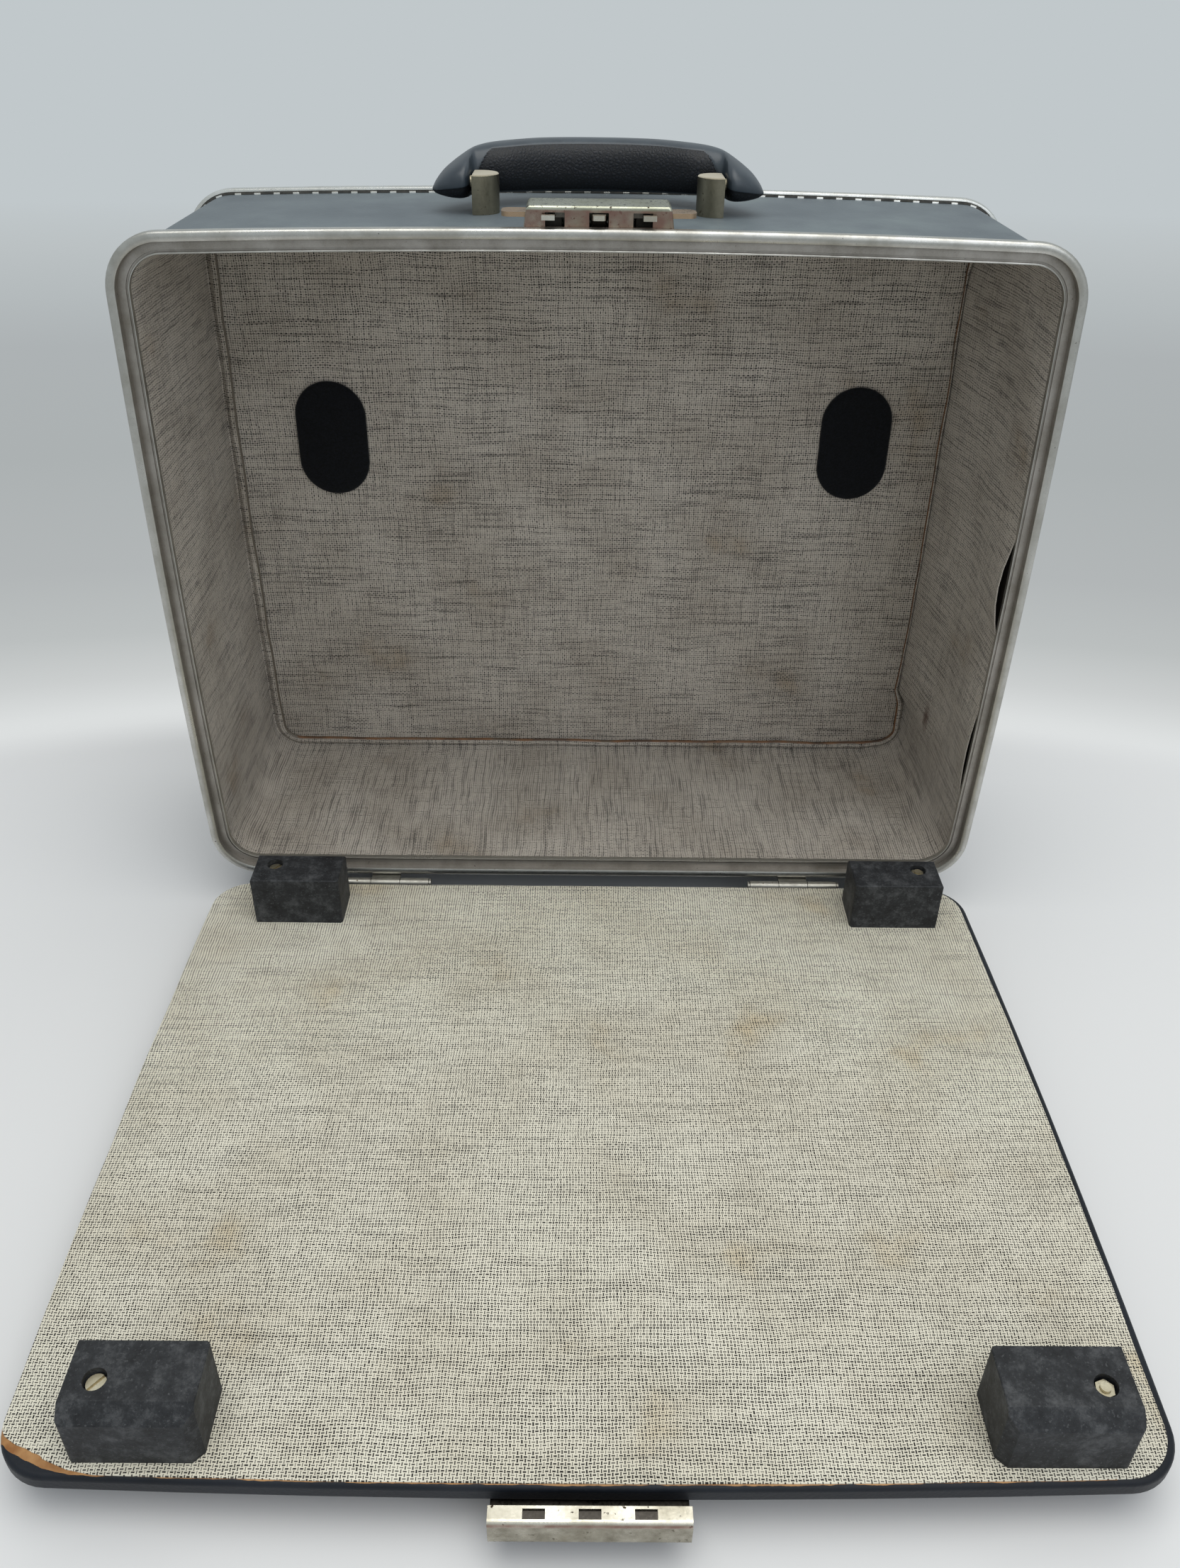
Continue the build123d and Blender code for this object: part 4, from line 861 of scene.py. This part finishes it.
# The faces of the recess, its groove and the bead's inner step take the darker aluminium, as tarnish
# and painted shade.
sunken_from, sunken_to = 16, 21
rim_points = sweep_profile(rim_profile)
rim_faces = grid_faces(len(outline), len(rim_profile), close_rows=True)
rim_finish = [1 if sunken_from <= face[0] % len(rim_profile) <= sunken_to else 0
              for face in rim_faces]
add_piece("rim_extrusion", rim_points, rim_faces, [aluminium, tarnished_and_shaded_aluminium], "lid",
          replaced=["lid_rim"], face_finish=rim_finish)
print("rim swept with", len(rim_faces), "faces")

# %% [markdown]
# ## The rear binding
# Where the lid's side wall meets its back, a bead of aluminium covers the joint. It is pressed on
# over short tabs, which show as a row of light dashes on a dark line just in front of the bead. That
# line is the shadow in the gap, made as a thin strip painted dark as a painted shadow. The bead and the
# dark strip are swept, and each tab is a small block that follows the outline.

# %% Sweep the bead and set its tabs
binding_profile = [
    (-1.4, 108.4), (-2.4, 108.6), (-3.0, 109.2), (-3.2, 110.2), (-3.2, 111.4), (-3.0, 112.2),
    (-2.4, 112.8), (-1.4, 113.0), (1.6, 113.0), (2.5, 112.8), (3.0, 112.2), (3.0, 111.5),
    (0.0, 111.5), (0.0, 108.5),
]
strip_profile = [(0.0, 107.6), (-0.7, 107.7), (-0.8, 108.2), (-1.45, 108.3), (-1.5, 108.8),
                 (0.0, 108.8)]
tab_pitch, tab_length = 8.1, 2.6
tab_profile = [(0.0, 107.4), (-0.75, 107.5), (-0.9, 107.8), (-0.9, 108.7), (0.0, 108.7)]
top_bead_share = 0.72


def bead_station(p, n, inset):
    """A point of the binding. Along the top the bead stands less proud than at the sides."""
    if inset < 0:
        inset *= 1 - (1 - top_bead_share) * max(0.0, n.y) ** 2
    return p - n * inset


def station_at(distance):
    """The point and outward direction at any distance round the outline."""
    distances = station_distances()
    index = max(i for i in range(len(outline)) if distances[i] <= distance % distances[-1])
    here, there = outline[index], outline[(index + 1) % len(outline)]
    part = (distance % distances[-1] - distances[index]) / (distances[index + 1] - distances[index])
    return here[0].lerp(there[0], part), here[1].lerp(there[1], part).normalized()


binding_points, binding_faces, binding_finish = [], [], []


def add_to_binding(points, faces, finish):
    """Adds points to the binding, and faces that count those points from zero."""
    first = len(binding_points)
    binding_points.extend(points)
    binding_faces.extend(tuple(first + i for i in face) for face in faces)
    binding_finish.extend([finish] * len(faces))


for finish, profile in enumerate((binding_profile, strip_profile)):
    add_to_binding(sweep_profile(profile, moved=bead_station),
                   grid_faces(len(outline), len(profile), close_rows=True), finish)

tab_count = round(outline_length / tab_pitch)
tab_offsets = (-tab_length / 2, 0, tab_length / 2)
tab_faces = capped_faces(len(tab_offsets), len(tab_profile))
for tab in range(tab_count):
    middle = outline_length * tab / tab_count
    tab_stations = [station_at(middle + offset) for offset in tab_offsets]
    add_to_binding(sweep_profile(tab_profile, tab_stations, bead_station), tab_faces, 0)

# The strip is painted dark grey as a painted shadow under the bead.
shadow_strip, tree, place = new_finish("binding_strip_painted_shadow", "#343532", 0.7)
cloud(shadow_strip, place, 3, [(0.35, "#2a2b29"), (0.75, "#474641")], 4.0)
add_piece("binding_bead", binding_points, binding_faces, [highlit_aluminium, shadow_strip], "lid",
          replaced=["rear_binding"], face_finish=binding_finish)
print(tab_count, "tabs round the binding")

# %% [markdown]
# ## The base lining
# The lining is glued flat to the base, a little short of the edge all round, and it was laid a
# millimetre to the left. The cut is hand made, so the margin wanders. The sheet is built in rings:
# the outer ones follow the outline at its margin, and the inner ones shrink towards the middle.

# %% Lay the base lining
base_edge = 1.0
margin, lining_shift = 1.5, -1.0
lining_thickness = 0.5
rounded_in, rounded_down = 0.25, 0.12
wander_most, wander_length = 0.35, 25
ragged_most, ragged_length = 0.6, 4
tear_start, tear_end, tear_depth = math.radians(12), math.radians(124), 4.9
corner_point, corner_outward = min(outline, key=lambda station: station[1].x - station[1].y)
corner_middle = corner_point - corner_outward * corner_radius


def cut_inset(p):
    """How far inside the outline the lining's cut edge is at a station."""
    wander = wander_most * drift_at(p, wander_length, 0.5)
    turned = math.atan2(p.y - corner_middle.y, corner_middle.x - p.x)
    torn = 0.0
    if tear_start < turned < tear_end:
        share = (turned - tear_start) / (tear_end - tear_start)
        torn = tear_depth * math.sin(math.pi * share) ** 1.25
    ragged = ragged_most * drift_at(p, ragged_length, 4.0) * min(1.0, torn)
    return base_edge + margin + wander + torn + ragged


def lining_ring(extra_inset, shrink, height):
    ring = []
    for p, n in outline:
        q = (p - n * (cut_inset(p) + extra_inset)) * (1 - shrink)
        ring.append(on_base(q.x + lining_shift, q.y, height))
    return ring


lining_rings = [lining_ring(0.0, 0.0, lining_level - lining_thickness),
                lining_ring(0.0, 0.0, lining_level - rounded_down)]
lining_rings += [lining_ring(rounded_in, shrink, lining_level)
                 for shrink in (0.0, 0.06, 0.2, 0.4, 0.65, 0.85)]
lining_points = [point for ring in lining_rings for point in ring]
base_lining = add_piece(
    "lining_of_base", lining_points, capped_faces(len(lining_rings), len(outline)), [base_linen],
    "base", replaced=["base_lining"],
    cloth_metres=[(point.x, point.y) for point in lining_points])

# The outline holds the origin, so each slice from it counts once.
cut_edge = lining_rings[0]
flat_lining_area = sum(abs(here.x * there.y - there.x * here.y) / 2
                       for here, there in zip(cut_edge, cut_edge[1:] + cut_edge[:1]))
base_lining_flat = (339 * mm, 268 * mm)
flat_lining_area = min(flat_lining_area, base_lining_flat[0] * base_lining_flat[1])
print("base lining", round(flat_lining_area, 4), "square metres")

# %% [markdown]
# ## The lid's back lining
# The back panel's lining is a flat sheet too, and its edge is hidden by the side lining's turn-in.

# %% Lay the lid's back lining
back_front, back_rear, back_inset = 103.5, 104.0, 3.6


def back_ring(shrink, depth):
    return [on_lid(*((p - n * back_inset) * (1 - shrink)), depth) for p, n in outline]


back_rings = [back_ring(0.0, back_rear)]
back_rings += [back_ring(shrink, back_front) for shrink in (0.0, 0.1, 0.3, 0.5, 0.7, 0.88)]
back_points = [point for ring in back_rings for point in ring]
back_lining = add_piece(
    "lining_of_lid_back", back_points, capped_faces(len(back_rings), len(outline)), [shaded_lid_linen],
    "lid", replaced=["lid_back_lining"],
    cloth_metres=[(point.x, point.z) for point in back_points])

# %% [markdown]
# ## The lid's side lining
# One long strip of cloth goes round inside the walls, tucked under the rim's lip in front and turned
# in by 5 mm over the back lining. On the right wall the glue has let go: the cloth bellies off in two
# places near the front, and at the back it leans away from the wall. The strip is swept like the
# rim, but each point may also move, by a small wave everywhere and by what has come loose.

# %% Hang the side lining
wall_inset, wall_cloth = 4.1, 0.45
turn_in = 9.3
wall_depths = [4.3, 6, 9, 14, 22, 32, 44, 56, 68, 78, 88, 96, 100.5]
side_profile = [(wall_inset, depth) for depth in wall_depths]
side_profile += [(4.2, 102.8), (4.9, 103.2), (5.6, 102.2), (6.9, 101.3), (8.7, 101.4),
                 (turn_in, 102.0), (turn_in, 102.9), (8.6, 103.3), (7.0, 103.4),
                 (wall_inset - wall_cloth, 103.45)]
side_profile += [(wall_inset - wall_cloth, depth) for depth in reversed(wall_depths)]
first_fold = len(wall_depths)
last_fold = len(side_profile) - len(wall_depths)
right_wall_from = 150
# The loose places on the right: the middle height, the reach up and down, and the rise.
loose_places = [(6.0, 22.0, 4.0), (-73.0, 26.0, 2.2)]
loose_depth = 45
lean_start, lean_most, lean_low, overlap_height = 52, 7.2, 2.0, -96.0
lean_top, lean_fade = 128, 22
wave_half, wave_length, wave_depth = 0.35, 40, 35
wave_start, wave_span = 4, 98
fray_most, fray_length = 0.9, 22


def wall_lean(p):
    """How far the cloth of the right wall has come off at the back, in mm, at a station."""
    if p.x < right_wall_from:
        return 0.0
    if p.y < overlap_height:
        return lean_low
    return lean_most * max(0.0, min(1.0, (lean_top - p.y) / lean_fade))


def wall_slack(p, depth):
    """How far the cloth stands off the wall, in mm, at a station and depth."""
    wave = wave_half * (1 + drift_at(p, wave_length, depth / wave_depth))
    slack = wave * math.sin(math.pi * min(1.0, max(0.0, (depth - wave_start) / wave_span)))
    along_depth = max(0.0, min(1.0, (depth - lean_start) / (wall_depths[-1] - lean_start)))
    slack += wall_lean(p) * along_depth ** 1.3
    if p.x > right_wall_from:
        for height, reach, rise in loose_places:
            along = max(0.0, 1 - ((p.y - height) / reach) ** 2)
            slack += rise * along * max(0.0, 1 - depth / loose_depth)
    return slack


cloth_distances = station_distances(wall_inset)
side_points, side_metres = [], []
for index in range(len(outline) + 1):
    p, n = outline[index % len(outline)]
    frayed = fray_most * drift_at(p, fray_length, 9.0)
    run = 0.0
    last = side_profile[0]
    for step, (inset, depth) in enumerate(side_profile):
        run += math.dist(last, (inset, depth))
        last = (inset, depth)
        if first_fold <= step < last_fold:
            lean = wall_lean(p)
            turned = (inset - wall_inset) / (turn_in - wall_inset)
            reach = wall_inset + lean + turned * (turn_in - wall_inset) * (1 - 0.1 * lean)
            reach += frayed * max(0.0, turned)
        else:
            reach = inset + wall_slack(p, depth)
        side_points.append(on_lid(*(p - n * reach), depth))
        side_metres.append((run * mm, cloth_distances[index] * mm))
ring_size = len(side_profile)
side_faces = grid_faces(len(outline) + 1, ring_size)
seam_edge_steps = (first_fold + 4, first_fold + 5)
side_finish = [1 if face[0] % ring_size in seam_edge_steps else 0 for face in side_faces]
side_lining = add_piece(
    "lining_of_lid_sides", side_points, side_faces, [shaded_lid_linen, seam_glue_and_shade], "lid",
    replaced=["lid_side_lining"], face_finish=side_finish, cloth_metres=side_metres)
print("side lining", round(cloth_distances[-1]), "mm long")

# %% [markdown]
# ## Felt pads
# Two die-cut ovals of thick felt keep the machine off the back panel. A cut felt edge is round and
# a little furry, so the rings swell over the edge, and the outline is roughened by a hair.

# %% Shape the felt pads
pad_radius, pad_straight = 16.0, 20.0
pad_from_middle, pad_height_z = 120.0, 190.4
pad_steps = 28
fur_share, fur_waves = 0.006, 9
pad_rings = [(0.3, 0.0), (0.0, 0.5), (0.0, 1.2), (0.35, 1.7), (1.0, 1.95), (4.0, 2.0), (11.0, 2.0)]


def pad_outline(inset):
    """A stadium: two half circles joined by straight sides."""
    points = []
    for end in (1, -1):
        for step in range(pad_steps + 1):
            angle = math.pi * step / pad_steps + (0 if end > 0 else math.pi)
            x, z = math.cos(angle), math.sin(angle)
            fur = 1 + fur_share * noise.noise(Vector((fur_waves * x, fur_waves * z, end)))
            radius = (pad_radius - inset) * fur
            points.append((radius * x, end * pad_straight / 2 + radius * z))
    return points


pad_faces = capped_faces(len(pad_rings), len(pad_outline(0)))
for side, name in ((-1, "left"), (1, "right")):
    pad_points = [
        Vector((side * pad_from_middle + x, rim_y + back_front - rise, pad_height_z + z)) * mm
        for inset, rise in pad_rings for x, z in pad_outline(inset)]
    pad = add_piece("felt_oval_" + name, pad_points, pad_faces, [felt], "lid",
                    replaced=["felt_pad_" + name], sharp=60.0)

# %% [markdown]
# ## The handle
# The handle is a moulded bow with an eye at each end, where it turns on the posts. Its ends run out
# to points, its outside is a smooth band, and the finger side is grained and set back a hair. It is
# made as a skin between two rails: the outer and the inner edge of the bow as seen from above. The
# rows give the rails and the heights of the bow's top and bottom at a few places.

# %% Rails of the handle
post_y, pivot_z = 147.15, 304.3
# Each row is outer x and reach, inner x and reach, then top and bottom above the pivot.
handle_rows = [
    (63.0, -0.6, 62.6, -1.4, -2.3, -3.3),
    (62.2, 4.2, 60.0, -4.2, 0.3, -4.5),
    (60.2, 9.5, 55.2, -6.6, 3.6, -5.6),
    (57.4, 15.0, 50.6, -7.3, 6.2, -6.2),
    (54.2, 20.0, 48.6, -3.5, 8.0, -6.4),
    (50.8, 24.2, 48.4, 2.5, 9.2, -6.4),
    (47.0, 27.6, 47.5, 7.6, 10.1, -6.3),
    (42.0, 31.0, 43.0, 9.3, 11.0, -6.3),
    (35.5, 34.3, 35.0, 10.9, 11.6, -6.4),
    (24.0, 37.8, 23.5, 16.2, 12.1, -6.7),
    (12.0, 39.5, 11.8, 19.5, 12.2, -6.9),
    (0.0, 40.0, 0.0, 20.5, 12.2, -6.9),
]
handle_rows += [(-ox, oy, -ix, iy, top, bottom)
                for ox, oy, ix, iy, top, bottom in reversed(handle_rows[:-1])]


def smooth_rows(rows, steps):
    """A Catmull-Rom curve through the rows, each taken as one point of many numbers."""
    smooth = []
    for i in range(len(rows) - 1):
        a, b = rows[max(0, i - 1)], rows[i]
        c, d = rows[i + 1], rows[min(len(rows) - 1, i + 2)]
        for step in range(steps):
            t = step / steps
            smooth.append(tuple(
                0.5 * (2 * q + (r - p) * t + (2 * p - 5 * q + 4 * r - s) * t ** 2
                       + (3 * q - p - 3 * r + s) * t ** 3)
                for p, q, r, s in zip(a, b, c, d)))
    smooth.append(rows[-1])
    return smooth

# %% [markdown]
# A rounded section joins the rails at each station. Its corners are a superellipse's, which is squarer
# than an oval as its power rises. The grained faces are found by their angle round the section.

# %% Skin the handle
section_steps, row_steps = 96, 12
roundness = 2.5
grain_sink, thinnest_bow = 0.35, 4.0
grain_at_grip, grain_at_eye, grain_end = 126, 188, math.radians(236)
eye_from, eye_blend = 40, 8


def grain_start(x):
    """Where round the section the grain starts: just under the crest along the grip, and halfway
    down at the eyes, whose shoulders are smooth."""
    towards_eye = min(1.0, max(0.0, (abs(x) - eye_from) / eye_blend))
    eased = towards_eye ** 2 * (3 - 2 * towards_eye)
    return math.radians(grain_at_grip + (grain_at_eye - grain_at_grip) * eased)


def rounded(value):
    """A cosine or sine pushed outwards, so that the section is squarer than an oval."""
    return math.copysign(abs(value) ** (2 / roundness), value)


handle_points, handle_finish = [], []
handle_stations = smooth_rows(handle_rows, row_steps)
for ox, oy, ix, iy, top, bottom in handle_stations:
    for step in range(section_steps):
        angle = 2 * math.pi * step / section_steps
        across, upward = rounded(math.cos(angle)), rounded(math.sin(angle))
        if grain_start(ix) < angle < grain_end:
            across += 2 * grain_sink / max(thinnest_bow, math.hypot(ox - ix, oy - iy))
        part = 0.5 + 0.5 * across
        x = ix + (ox - ix) * part
        y = iy + (oy - iy) * part
        z = (top + bottom) / 2 + (top - bottom) / 2 * upward
        handle_points.append(Vector((x, post_y + y, pivot_z + z)) * mm)
handle_faces = capped_faces(len(handle_stations), section_steps)
for face in handle_faces[:-2]:
    station = handle_stations[face[0] // section_steps]
    angle = 2 * math.pi * ((face[0] % section_steps) + 0.5) / section_steps
    handle_finish.append(1 if grain_start(station[2]) < angle < grain_end else 0)
handle_finish += [0, 0]
add_piece("handle_bow", handle_points, handle_faces, [smooth_vinyl, shaded_grained_vinyl], "handle",
          replaced=["handle"], face_finish=handle_finish, sharp=50.0)
print("handle skinned with", len(handle_faces), "faces")
